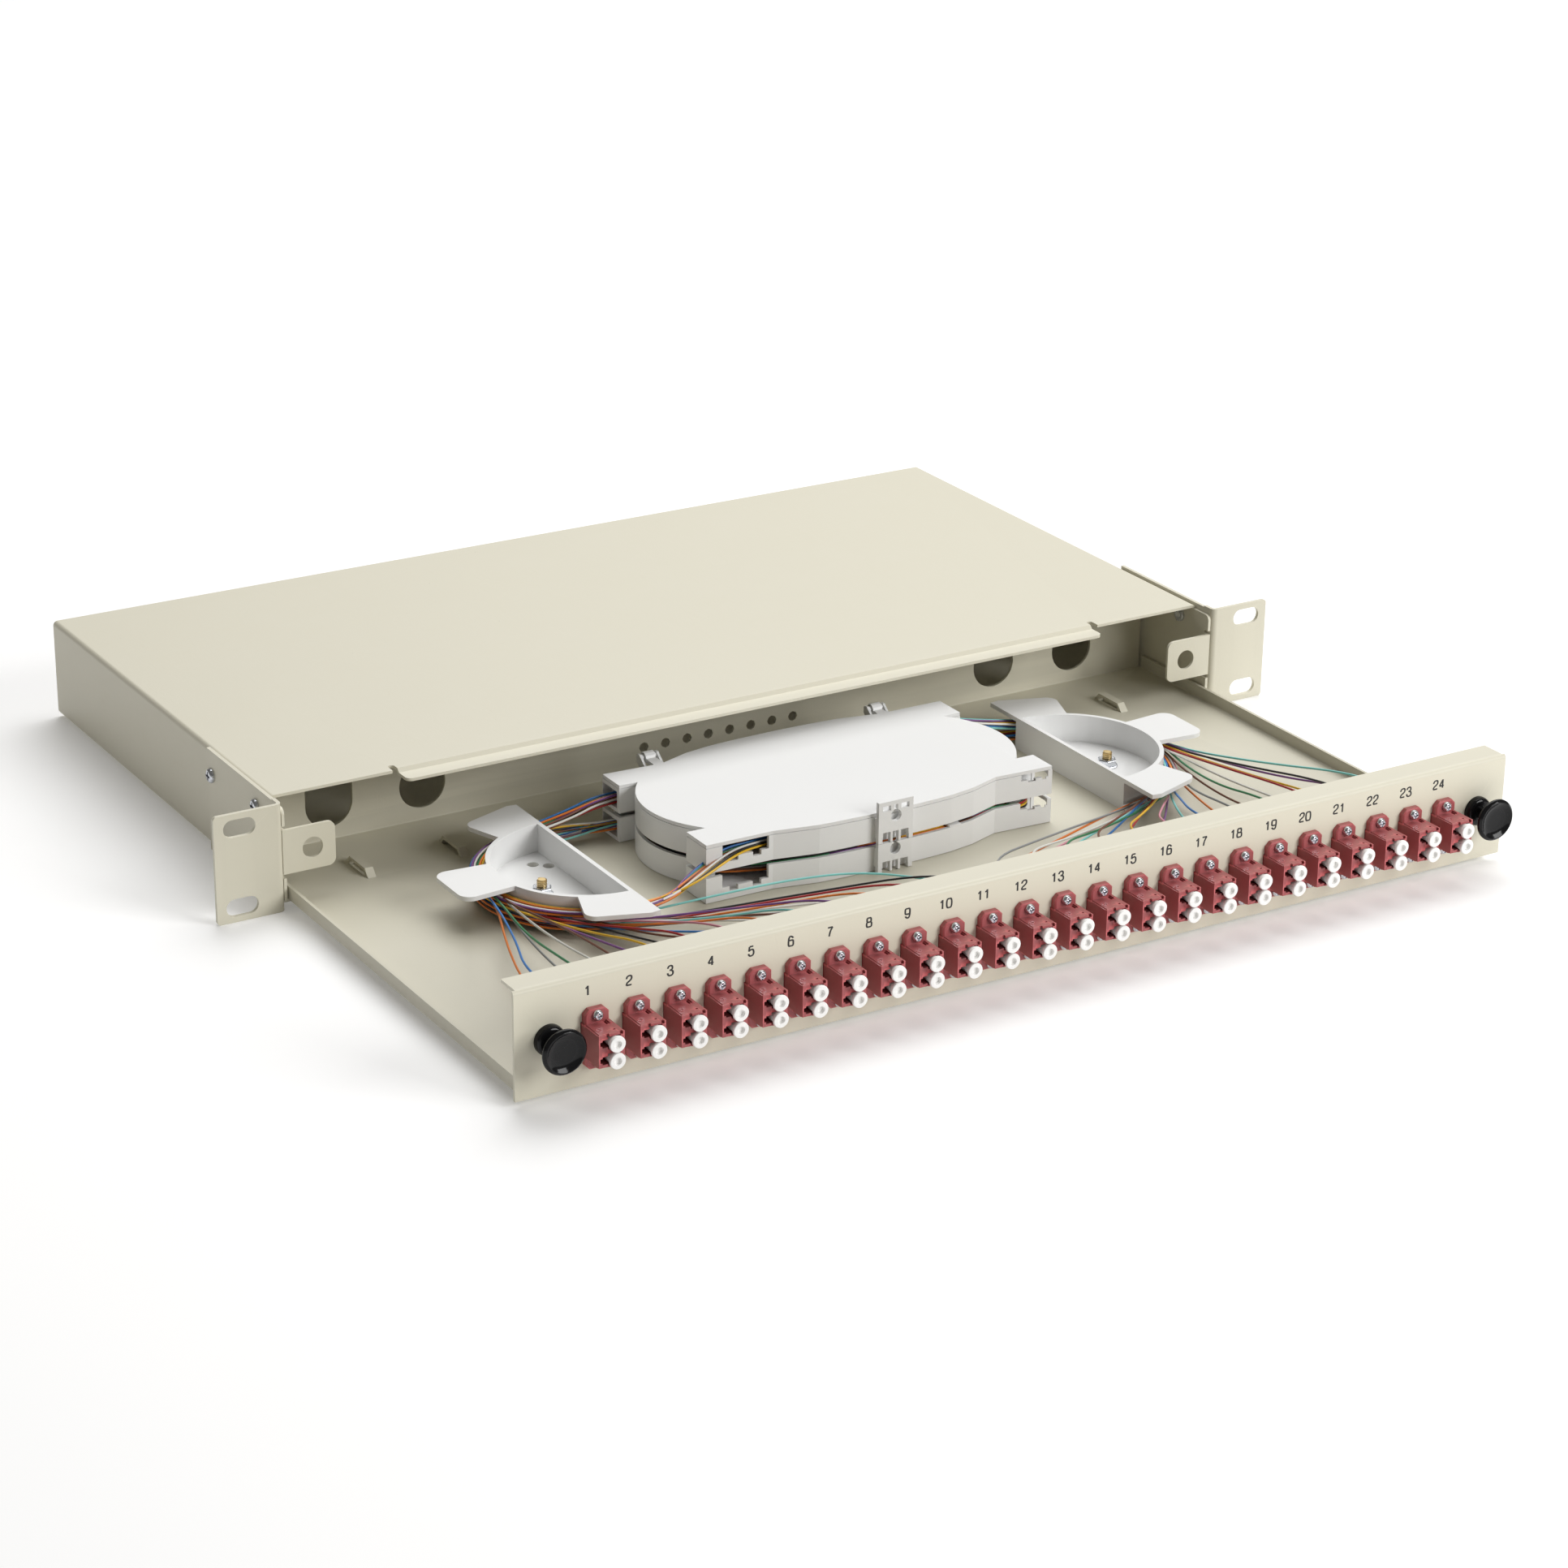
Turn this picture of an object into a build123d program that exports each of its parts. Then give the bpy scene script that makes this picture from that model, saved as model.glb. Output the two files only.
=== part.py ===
from build123d import *
import os
from math import cos, radians, sin, tan

# A sliding fibre splice box for a 19 inch rack, one unit high, with its drawer pulled out.
# Millimetres, +Z up, +Y into the rack. The origin is the centre of the four rack slots,
# on the rear face of the ears, which is the face that seats on the rack rails.

# Rack ears
ear_sheet = 1.5
ear_height = 43.5
ear_flange_reach = 27.8
ear_corner_radius = 1.5
ear_bend_radius = 2.5
ear_leg_height = 42.4
ear_leg_end_y = 65.0
slot_edge_gap = 10.3
slot_centre_z = 15.875
slot_length = 13.0
slot_width = 7.0

# Screws that hold the ears, as (y, z) on the side walls
ear_screw_places = ((19.5, 13.5), (61.0, 11.0))
ear_screw_radius = 1.5
ear_screw_head_radius = 2.9
ear_screw_head_height = 1.7
ear_screw_clearance = 0.1
clinch_nut_radius = 3.0
clinch_nut_height = 1.2

# Cover
sheet = 1.2
housing_width = 427.0
housing_height = 41.0
housing_back_y = 227.0
housing_bend_radius = 2.0
wall_front_y = -0.2
wall_corner_radius = 2.5
wall_step = 1.6
floor_front_y = 3.5
roof_front_y = 10.5
lip_end_gap = 53.5
lip_front_y = 3.0
lip_drop = 1.4
lip_corner_radius = 2.5
lip_notch_width = 2.6
lip_notch_depth = 5.0

# Latch tabs, bent inwards from the side walls
latch_wall_gap = 11.0
latch_z = 1.3
latch_hole_radius = 4.15
tab_reach = 20.3
tab_low_z = -7.5
tab_high_z = 10.4
tab_corner_radius = 3.0
tab_relief = 1.6

# Drawer
tray_side_gap = 0.8
tray_flange_height = 6.4
tray_bend_radius = 1.6
drawer_gap = 0.1
rear_wall_front_y = 44.5
rear_wall_end_gap = 1.5
rear_wall_top_gap = 0.7
upstand_height = 5.0
upstand_end_gap = 21.5

# Cable entries in the rear wall, with their distances from its ends
entry_radius = 10.0
entry_z = -3.0
inner_entry_gap = 76.0
outer_entry_gap = 36.0
tall_entry_rise = 9.0
tie_hole_radius = 2.0
tie_hole_count = 8
tie_hole_pitch = 10.0
tie_hole_sides = 8
tie_hole_z = -7.3

# Bridge lances for cable ties, each a little aside of the entry behind it
left_outer_lance_shift = -1.9
left_inner_lance_shift = -2.4
right_lance_shift = -0.9
lance_front_y = 3.0
lance_length = 19.5
lance_width = 3.4
lance_rise = 3.1
lance_slope = 3.0

# Front panel
panel_front_y = -187.9
panel_side_reach = 0.9
panel_height = 41.0
panel_flange_depth = 11.35
panel_bend_radius = 1.8
panel_flange_clearance = 0.3

# Adapters, spread evenly between the first and last one's distance from the panel's ends
adapter_count = 24
adapter_row_margin = 30.4
adapter_z = -1.5
adapter_body_width = 9.9
adapter_body_height = 12.0
adapter_front_reach = 12.6
adapter_rear_reach = 12.5
adapter_flange_width = 9.3
adapter_flange_height = 22.4
adapter_flange_thickness = 2.3
adapter_flange_chamfer = 1.8
adapter_cut_clearance = 0.2
port_pitch = 6.25
port_offset_x = 1.8
port_width = 5.0
port_height = 5.2
port_depth = 9.0
latch_slot_width = 3.3
latch_slot_height = 3.0
cap_radius = 3.1
cap_sides = 8
cap_length = 2.7

# Pigtail plugs in the back of the adapters
plug_size = 4.6
plug_length = 10.0
boot_size = 2.8
boot_length = 13.0

# Push latches
ring_sides = 24
collar_radius = 5.65
collar_top_radius = 4.6
collar_height = 3.0
barrel_radius = 3.95
barrel_reach = 6.6
barrel_slit = 1.2
stem_radius = 2.1
stem_clearance = 0.1
knob_radius = 8.4
knob_rim = 1.6
knob_edge = 0.8
knob_neck_radius = 4.4
knob_height = 6.4
latch_travel = 3.0

# Fibre guides
guide_side_gap = 101.3
guide_y = -46.0
guide_radius = 38.0
guide_height = 13.5
guide_floor = 2.0
guide_wall = 1.8
guide_wing_thickness = 1.8
guide_wing_end = 58.0
guide_wing_root_width = 23.0
guide_wing_tip_width = 27.0
guide_stud_offset = 19.0
guide_hole_radius = 2.25
guide_holes = ((9.2, 25.9), (4.5, 21.9))
stud_radius = 2.0
stud_top_height = 6.0
stud_clearance = 0.05
nut_flats = 7.0
nut_height = 3.2

# Splice cassettes
cassette_centre_y = -40.0
cassette_seat_gap = 0.2
cassette_wall_height = 10.1
cassette_pitch = 12.0
cassette_wall = 1.5
cassette_floor = 1.5
cassette_lid_thickness = 1.7
cassette_end_radius = 38.5
cassette_end_x = 42.0
cassette_corner_x = 78.5
low_port_start_x = 64.4
low_port_end_x = 76.6
low_port_depth = 2.5
low_port_notches = ((69.3, 1.7), (74.8, 0.9))
low_port_notch_depth = 0.9
mandrel_radius = 21.0
mandrel_wall = 1.3
mandrel_height = 7.5
comb_slots = 6
comb_pitch = 3.4
comb_rib = 0.8
comb_length = 26.0
comb_height = 6.0
protector_radius = 1.2
protector_length = 40.0
barrel_y = 7.1
barrel_rise = 1.5
hinge_barrel_radius = 1.3
hinge_clearance = 0.15
hinge_hook_wall = 1.0
hinge_hook_width = 4.6
hinge_ear_thickness = 1.0
hinge_ear_gap = 1.0
hinge_ear_rim = 0.3
hinge_ear_drop = 5.0
hinge_ear_rise_y = 2.6
hinge_root_y = -2.5
hinge_x = (-54.0, 51.0)
column_x = 0.1
column_width = 15.5
column_thickness = 1.8
column_front_y = -89.0
column_flank = 2.0
column_top_strip = 1.7
column_top_rise = 5.0
window_width = 3.6
middle_window_width = 2.6
window_pitch = 4.1
window_height = 4.2
keyhole_radius = 2.35
keyhole_slot_width = 1.6
keyhole_sides = 16
lower_keyhole_rise = 9.0
upper_keyhole_rise = 10.6

# Fibre bundles
bundle_radius = 2.0
bundle_clearance = 0.4

# Worked-out places that several pieces share
wall_inner_x = housing_width / 2 - sheet
ear_edge_x = housing_width / 2 + ear_flange_reach
slot_centre_x = ear_edge_x - slot_edge_gap
lip_half_width = housing_width / 2 - lip_end_gap
latch_x = wall_inner_x - latch_wall_gap
tab_inner_x = wall_inner_x - tab_reach
tray_half_width = wall_inner_x - tray_side_gap
rear_wall_half_width = tray_half_width - rear_wall_end_gap
upstand_half_width = tray_half_width - upstand_end_gap
inner_entry_x = rear_wall_half_width - inner_entry_gap
outer_entry_x = rear_wall_half_width - outer_entry_gap
lance_x = (
    left_outer_lance_shift - outer_entry_x,
    left_inner_lance_shift - inner_entry_x,
    right_lance_shift + outer_entry_x,
)
panel_half_width = housing_width / 2 + panel_side_reach
guide_x = tray_half_width - guide_side_gap
roof_under_z = housing_height / 2 - sheet
floor_under_z = -housing_height / 2 + sheet + drawer_gap
floor_top_z = floor_under_z + sheet
panel_back_y = panel_front_y + sheet
panel_low_z = floor_under_z
panel_top_z = panel_low_z + panel_height
rear_wall_top_z = roof_under_z - rear_wall_top_gap
adapter_front_y = panel_front_y - adapter_front_reach
adapter_rear_y = panel_back_y + adapter_rear_reach
collar_front_y = panel_front_y - collar_height
knob_neck_y = collar_front_y - latch_travel - stem_clearance
knob_front_y = knob_neck_y - knob_height
guide_rim_z = floor_top_z + guide_height
guide_inner_z = floor_top_z + guide_floor
cassette_low_z = floor_top_z + cassette_seat_gap
adapter_pitch = 2 * (panel_half_width - adapter_row_margin) / (adapter_count - 1)
adapter_x = [adapter_pitch * (i - (adapter_count - 1) / 2) for i in range(adapter_count)]


def span_box(x, y, z):
    """A box from three (low, high) pairs."""
    size = [high - low for low, high in (x, y, z)]
    middle = [(high + low) / 2 for low, high in (x, y, z)]
    return Pos(*middle) * Box(*size)


def along_x(face, x):
    """Extrudes a face drawn in (y, z) between two places on X."""
    return extrude(Plane.YZ.offset(x[0]) * face, x[1] - x[0])


def along_y(face, y):
    """Extrudes a face drawn in (x, z) between two places on Y."""
    return extrude(Plane.XZ.offset(-y[0]) * face, y[0] - y[1])


def along_z(face, z):
    """Extrudes a face drawn in (x, y) between two places on Z."""
    return extrude(Pos(0, 0, z[0]) * face, z[1] - z[0])


def outline(*corners):
    """A flat face from its corners, each (x, y) or (x, y, radius)."""
    face = make_face(Polyline(*[corner[:2] for corner in corners], close=True))
    for x, y, radius in [corner for corner in corners if len(corner) == 3]:
        face = fillet(face.vertices().sort_by_distance((x, y))[0], radius)
    return face


def pin_x(x, y, z, radius):
    """A small bar along X between two places, at (y, z)."""
    return along_x(Pos(y, z) * facet_disc(radius), x)


def facet_disc(radius, sides=12):
    """A small round section with few sides, none of them inside the radius."""
    return RegularPolygon(radius, sides, major_radius=False)


def turned(profile, x, z):
    """A small turned piece about an axis along Y, at (x, z), with flat facets between rings of (radius, y)."""
    turns = [radians(360 * i / ring_sides) for i in range(ring_sides)]
    rings = [[(x + r * cos(turn), y, z + r * sin(turn)) for turn in turns] for r, y in profile]
    corners = [rings[0], rings[-1]]
    for near, far in zip(rings, rings[1:]):
        corners += [(near[i - 1], near[i], far[i], far[i - 1]) for i in range(ring_sides)]
    return Solid(Shell([Face(Wire.make_polygon(points, close=True)) for points in corners]))


def save(name, shape):
    """Writes one node."""
    shape.label = name
    export_step(shape, f"parts/{name}.step")


def both_sides(shape):
    """A right-hand shape and its mirror image."""
    return shape, mirror(shape, Plane.YZ)


# Cover


def lip():
    """The joggled tongue along the front edge of the roof, under the panel's top flange."""
    top = housing_height / 2
    front_top = top - lip_drop
    slope_end = roof_front_y + lip_drop
    profile = outline(
        (lip_front_y, front_top - sheet),
        (lip_front_y, front_top),
        (roof_front_y, front_top),
        (slope_end, top),
        (slope_end + 2 * sheet, top),
        (slope_end + 2 * sheet, top - sheet),
        (slope_end + sheet / 2, top - sheet),
        (roof_front_y + sheet / 2, front_top - sheet),
    )
    tongue = along_x(profile, (-lip_half_width, lip_half_width))
    front_corners = tongue.edges().filter_by(Axis.Z).group_by(Axis.Y)[0]
    return fillet(front_corners, lip_corner_radius)


def latch_tab():
    """The right-hand tab that the push latch snaps into."""
    face = outline(
        (wall_inner_x + sheet / 2, tab_low_z),
        (wall_inner_x + sheet / 2, tab_high_z),
        (tab_inner_x, tab_high_z, tab_corner_radius),
        (tab_inner_x, tab_low_z, tab_corner_radius),
    )
    face -= Pos(latch_x, latch_z) * Circle(latch_hole_radius)
    return along_y(face, (wall_front_y, wall_front_y + sheet))


def housing_cover():
    half_width = housing_width / 2
    half_height = housing_height / 2
    outer = RectangleRounded(housing_width, housing_height, housing_bend_radius)
    inner = RectangleRounded(
        housing_width - 2 * sheet, housing_height - 2 * sheet, housing_bend_radius - sheet
    )
    cover = along_y(outer - inner, (wall_front_y, housing_back_y))
    side_view = outline(
        (wall_front_y, -half_height + sheet, wall_corner_radius),
        (wall_front_y, half_height - wall_step, wall_corner_radius),
        (roof_front_y, half_height - wall_step),
        (roof_front_y, half_height),
        (housing_back_y, half_height),
        (housing_back_y, -half_height),
        (floor_front_y, -half_height),
        (floor_front_y, -half_height + sheet),
    )
    cover &= along_x(side_view, (-half_width, half_width))
    roof_behind_lip = roof_front_y + lip_drop + sheet
    cover -= span_box(
        (-lip_half_width, lip_half_width),
        (wall_front_y, roof_behind_lip),
        (roof_under_z - sheet, half_height + sheet),
    )
    cover += lip()
    for side in (-1, 1):
        notch_x = side * (lip_half_width + lip_notch_width / 2)
        notch_end = roof_front_y + lip_notch_depth - lip_notch_width / 2
        notch = Pos(notch_x, notch_end / 2) * Rectangle(lip_notch_width, notch_end)
        notch += Pos(notch_x, notch_end) * Circle(lip_notch_width / 2)
        cover -= along_z(notch, (roof_under_z - 2 * sheet, half_height + sheet))
        wall_x = sorted((side * (wall_inner_x - sheet), side * (half_width + sheet)))
        for low in (tab_low_z - tab_relief, tab_high_z):
            cover -= span_box(
                wall_x, (wall_front_y - sheet, wall_front_y + 2.5 * sheet), (low, low + tab_relief)
            )
        for y, z in ear_screw_places:
            cover -= pin_x(wall_x, y, z, ear_screw_radius + ear_screw_clearance)
    for tab in both_sides(latch_tab()):
        cover += tab
    return cover


# Ears


def ear_bracket():
    """The right-hand rack ear: a leg along the side wall and a slotted flange."""
    inner_x = housing_width / 2
    leg_x = inner_x + ear_sheet
    plan = outline(
        (inner_x, -ear_sheet, ear_bend_radius),
        (ear_edge_x, -ear_sheet),
        (ear_edge_x, 0),
        (leg_x, 0, ear_bend_radius - ear_sheet),
        (leg_x, ear_leg_end_y),
        (inner_x, ear_leg_end_y),
    )
    ear = along_z(plan, (-ear_height / 2, ear_height / 2))
    ear = fillet(ear.edges().filter_by(Axis.Y).group_by(Axis.X)[-1], ear_corner_radius)
    leg_start = 2 * ear_bend_radius
    for low, high in ((ear_leg_height / 2, ear_height), (-ear_height, -ear_leg_height / 2)):
        ear -= span_box((inner_x - 1, leg_x + 1), (leg_start, ear_leg_end_y + 1), (low, high))
    for z in (-slot_centre_z, slot_centre_z):
        slot = Pos(slot_centre_x, z) * SlotOverall(slot_length, slot_width)
        ear -= along_y(slot, (-2 * ear_sheet, ear_sheet))
    for y, z in ear_screw_places:
        hole_radius = ear_screw_radius + ear_screw_clearance
        ear -= pin_x((inner_x - 1, leg_x + 1), y, z, hole_radius)
    return ear


def ear_screw(y, z):
    """A right-hand ear screw, from its head outside the leg to its end in the nut."""
    leg_x = housing_width / 2 + ear_sheet
    end_x = wall_inner_x - clinch_nut_height
    shank = pin_x((end_x, leg_x), y, z, ear_screw_radius)
    head = pin_x((leg_x, leg_x + ear_screw_head_height), y, z, ear_screw_head_radius)
    return shank + head


def clinch_nut(y, z):
    """A right-hand nut, flat against the inside of the wall."""
    x = (wall_inner_x - clinch_nut_height, wall_inner_x)
    bore_radius = ear_screw_radius + stud_clearance
    return pin_x(x, y, z, clinch_nut_radius) - pin_x(x, y, z, bore_radius)


def on_both_walls(make):
    """One fastener at each screw place of both side walls."""
    return Compound(
        children=[copy for y, z in ear_screw_places for copy in both_sides(make(y, z))]
    )


# Drawer tray and front panel


def bridge_lance(x):
    """A strip of floor raised between two sloping feet, and the slot under it."""
    x_span = (x - lance_width / 2, x + lance_width / 2)
    back_y = lance_front_y + lance_length
    top = floor_top_z + lance_rise
    strip = outline(
        (lance_front_y, floor_under_z),
        (lance_front_y, floor_top_z),
        (lance_front_y + lance_slope, top),
        (back_y - lance_slope, top),
        (back_y, floor_top_z),
        (back_y, floor_under_z),
        (back_y - lance_slope / 2, floor_under_z),
        (back_y - lance_slope - sheet / 2, top - sheet),
        (lance_front_y + lance_slope + sheet / 2, top - sheet),
        (lance_front_y + lance_slope / 2, floor_under_z),
    )
    slot = span_box(x_span, (lance_front_y, back_y), (floor_under_z - sheet, top + sheet))
    return along_x(strip, x_span), slot


def rear_wall_holes():
    """The cable entries and the row of small holes, as a face in (x, z)."""
    tall = SlotOverall(2 * entry_radius + tall_entry_rise, 2 * entry_radius, rotation=90)
    holes = Pos(-outer_entry_x, entry_z + tall_entry_rise / 2) * tall
    for x in (-inner_entry_x, inner_entry_x, outer_entry_x):
        holes += Pos(x, entry_z) * Circle(entry_radius)
    for i in range(tie_hole_count):
        x = tie_hole_pitch * (i - (tie_hole_count - 1) / 2)
        holes += Pos(x, tie_hole_z) * facet_disc(tie_hole_radius, tie_hole_sides)
    return holes


def drawer_tray():
    inner_x = tray_half_width - sheet
    flange_top_z = floor_under_z + tray_flange_height
    section = outline(
        (-tray_half_width, flange_top_z),
        (-tray_half_width, floor_under_z, tray_bend_radius),
        (tray_half_width, floor_under_z, tray_bend_radius),
        (tray_half_width, flange_top_z),
        (inner_x, flange_top_z),
        (inner_x, floor_top_z, tray_bend_radius - sheet),
        (-inner_x, floor_top_z, tray_bend_radius - sheet),
        (-inner_x, flange_top_z),
    )
    rear_wall_back_y = rear_wall_front_y + sheet
    tray = along_y(section, (panel_back_y, rear_wall_front_y - sheet))
    rear_view = outline(
        (rear_wall_front_y - 2 * sheet, floor_under_z),
        (rear_wall_back_y, floor_under_z, tray_bend_radius),
        (rear_wall_back_y, rear_wall_top_z),
        (rear_wall_front_y, rear_wall_top_z),
        (rear_wall_front_y, floor_top_z, tray_bend_radius - sheet),
        (rear_wall_front_y - 2 * sheet, floor_top_z),
    )
    rear = along_x(rear_view, (-rear_wall_half_width, rear_wall_half_width))
    rear -= along_y(rear_wall_holes(), (rear_wall_front_y - sheet, rear_wall_back_y + sheet))
    tray += rear
    tray += span_box(
        (-upstand_half_width, upstand_half_width),
        (panel_back_y, panel_back_y + sheet),
        (floor_under_z, floor_top_z + upstand_height),
    )
    for x in lance_x:
        strip, slot = bridge_lance(x)
        tray = tray - slot + strip
    for side in (-1, 1):
        stud_x = side * (guide_x + guide_stud_offset)
        hole = Pos(stud_x, guide_y) * facet_disc(stud_radius + stud_clearance)
        tray -= along_z(hole, (floor_under_z - 1, floor_top_z + 1))
    return tray


def front_panel():
    flange_back_y = panel_front_y + panel_flange_depth
    side_view = outline(
        (panel_front_y, panel_low_z),
        (panel_front_y, panel_top_z, panel_bend_radius),
        (flange_back_y, panel_top_z),
        (flange_back_y, panel_top_z - sheet),
        (panel_back_y, panel_top_z - sheet, panel_bend_radius - sheet),
        (panel_back_y, panel_low_z),
    )
    panel = along_x(side_view, (-panel_half_width, panel_half_width))
    flange_end_x = housing_width / 2 - panel_flange_clearance
    for low, high in ((-panel_half_width, -flange_end_x), (flange_end_x, panel_half_width)):
        panel -= span_box(
            (low, high), (panel_back_y, flange_back_y), (panel_top_z - 2 * sheet, panel_top_z)
        )
    cut_width = adapter_body_width + 2 * adapter_cut_clearance
    cut_height = adapter_body_height + 2 * adapter_cut_clearance
    cuts = Pos(adapter_x[0], adapter_z) * Rectangle(cut_width, cut_height)
    for x in adapter_x[1:]:
        cuts += Pos(x, adapter_z) * Rectangle(cut_width, cut_height)
    for side in (-1, 1):
        cuts += Pos(side * latch_x, latch_z) * Circle(latch_hole_radius)
    return panel - along_y(cuts, (panel_front_y - sheet, panel_back_y + sheet))


# Adapters, their caps and plugs


def adapter(x):
    """A duplex adapter: a body through the panel, a screw flange, two keyed ports."""
    body = span_box(
        (x - adapter_body_width / 2, x + adapter_body_width / 2),
        (adapter_front_y, adapter_rear_y),
        (adapter_z - adapter_body_height / 2, adapter_z + adapter_body_height / 2),
    )
    plate = Rectangle(adapter_flange_width, adapter_flange_height)
    plate = Pos(x, adapter_z) * chamfer(plate.vertices(), adapter_flange_chamfer)
    body += along_y(plate, (panel_front_y - adapter_flange_thickness, panel_front_y))
    port_x = x + port_offset_x
    slot_x = port_x - (port_width + latch_slot_width) / 2
    for z in port_centres_z():
        port = Pos(port_x, z) * Rectangle(port_width, port_height)
        port += Pos(slot_x, z) * Rectangle(latch_slot_width, latch_slot_height)
        body -= along_y(port, (adapter_front_y, adapter_front_y + port_depth))
    return body


def port_centres_z():
    return [adapter_z - port_pitch / 2, adapter_z + port_pitch / 2]


def port_axes():
    """The (x, z) of all ports."""
    return [(x + port_offset_x, z) for x in adapter_x for z in port_centres_z()]


def dust_caps():
    """A round cap on the front of each port."""
    y = (adapter_front_y - cap_length, adapter_front_y)
    face = RegularPolygon(cap_radius, cap_sides)
    return Compound(children=[along_y(Pos(x, z) * face, y) for x, z in port_axes()])


def pigtail_plug(x, z):
    """A plug in the back of a port, with its boot."""
    plug_end_y = adapter_rear_y + plug_length
    body = Pos(x, z) * Rectangle(plug_size, plug_size)
    boot = Pos(x, z) * Rectangle(boot_size, boot_size)
    plug = along_y(body, (adapter_rear_y, plug_end_y))
    return plug + along_y(boot, (plug_end_y, plug_end_y + boot_length))


def pigtail_plugs():
    return Compound(children=[pigtail_plug(x, z) for x, z in port_axes()])


# Push latches, right-hand ones


def latch_grommet():
    """A collar in front of the panel and a split barrel through it."""
    bore_radius = stem_radius + stem_clearance
    barrel_end_y = panel_back_y + barrel_reach
    sleeve = turned(
        (
            (collar_top_radius, collar_front_y),
            (collar_radius, panel_front_y - collar_height / 2),
            (collar_radius, panel_front_y),
            (barrel_radius, panel_front_y),
            (barrel_radius, barrel_end_y),
        ),
        latch_x,
        latch_z,
    )
    bore = Pos(latch_x, latch_z) * facet_disc(bore_radius, ring_sides)
    sleeve -= along_y(bore, (collar_front_y, barrel_end_y))
    slit = span_box(
        (latch_x - collar_radius, latch_x + collar_radius),
        (panel_back_y + sheet, barrel_end_y + 1),
        (latch_z - barrel_slit / 2, latch_z + barrel_slit / 2),
    )
    return sleeve - slit


def latch_plunger():
    """The knob, drawn pulled out, and the stem that spreads the barrel."""
    rim_back_y = knob_front_y + knob_edge + knob_rim
    return turned(
        (
            (knob_radius - knob_edge, knob_front_y),
            (knob_radius, knob_front_y + knob_edge),
            (knob_radius, rim_back_y),
            (knob_neck_radius, rim_back_y + knob_rim),
            (knob_neck_radius, knob_neck_y),
            (stem_radius, knob_neck_y),
            (stem_radius, panel_back_y + barrel_reach),
        ),
        latch_x,
        latch_z,
    )


# Fibre guides, in (u, v): u outwards from the flat wall, v along Y


def guide_half_disc(radius, inset):
    """The half-round plan of a guide, its flat side inset from the flat wall."""
    return Circle(radius) & (Pos(radius / 2 + inset, 0) * Rectangle(radius, 2 * radius))


def guide_wings():
    """The three flat wings at the rim, two at the ends of the flat wall and one outwards."""
    root_u = guide_radius - guide_wall
    wings = outline(
        (root_u - guide_wall, -guide_wing_root_width / 2),
        (guide_wing_end, -guide_wing_tip_width / 2, 5.0),
        (guide_wing_end, guide_wing_tip_width / 2, 5.0),
        (root_u - guide_wall, guide_wing_root_width / 2),
    )
    for side in (-1, 1):
        wings += outline(
            (0, side * 34.0),
            (0, side * 57.0),
            (4.0, side * 57.5),
            (27.0, side * 49.5, 4.5),
            (20.5, side * 31.0),
        )
    return wings


def fibre_guide():
    """The right-hand guide."""
    inner = guide_half_disc(guide_radius - guide_wall, guide_wall)
    guide = along_z(guide_half_disc(guide_radius, 0), (floor_top_z, guide_rim_z))
    guide += along_z(guide_wings(), (guide_rim_z - guide_wing_thickness, guide_rim_z))
    guide -= along_z(inner, (guide_inner_z, guide_rim_z + 1))
    holes = Pos(guide_stud_offset, 0) * facet_disc(stud_radius + stud_clearance)
    for u, v in guide_holes:
        holes += Pos(u, -v) * facet_disc(guide_hole_radius)
    guide -= along_z(holes, (floor_top_z - 1, guide_inner_z + 1))
    return Pos(guide_x, guide_y, 0) * guide


def other_side(shape):
    """A right-hand piece turned half round, as the same moulding sits on the left."""
    turn = Pos(0, guide_y, 0) * Rot(0, 0, 180) * Pos(0, -guide_y, 0)
    return turn * shape


def guide_stud():
    top_z = guide_inner_z + stud_top_height
    stud = along_z(facet_disc(stud_radius), (floor_under_z, top_z))
    return Pos(guide_x + guide_stud_offset, guide_y, 0) * stud


def guide_nut():
    hexagon = RegularPolygon(nut_flats / 2, 6, major_radius=False)
    face = hexagon - facet_disc(stud_radius + stud_clearance)
    nut = along_z(face, (guide_inner_z, guide_inner_z + nut_height))
    return Pos(guide_x + guide_stud_offset, guide_y, 0) * nut


# Splice cassettes


def front_half():
    """The front edge of a cassette in plan, from its left port box to its right one."""
    box_front = -41.0
    left_box = [(-66.0, -26.0), (-cassette_corner_x, -26.0), (-cassette_corner_x, box_front)]
    left_step = [(-49.6, -41.3), (-31.4, -44.9)]
    right_step = [(28.1, -44.9), (39.5, -42.9), (52.8, -38.2)]
    right_box = [(cassette_corner_x, -39.6), (cassette_corner_x, -26.0), (66.0, -26.0)]
    return left_box + left_step, right_step + right_box


def cassette_plan(inset=0):
    """The plan of a cassette: two round ends, four port boxes, wavy front and rear edges."""
    left, right = front_half()
    front_bulge = (0.0, -46.0)
    edge = Polyline(*left) + ThreePointArc(left[-1], front_bulge, right[0]) + Polyline(*right)
    rear = Rot(0, 0, 180) * edge
    closing = [Line(edge @ 1, rear @ 0), Line(rear @ 1, edge @ 0)]
    plan = make_face(Wire(edge.edges() + rear.edges() + closing[0].edges() + closing[1].edges()))
    if inset:
        plan = offset(plan, -inset, kind=Kind.INTERSECTION)
    for side in (-1, 1):
        plan += Pos(side * cassette_end_x, 0) * Circle(cassette_end_radius - inset)
    return Pos(0, cassette_centre_y) * plan


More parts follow.
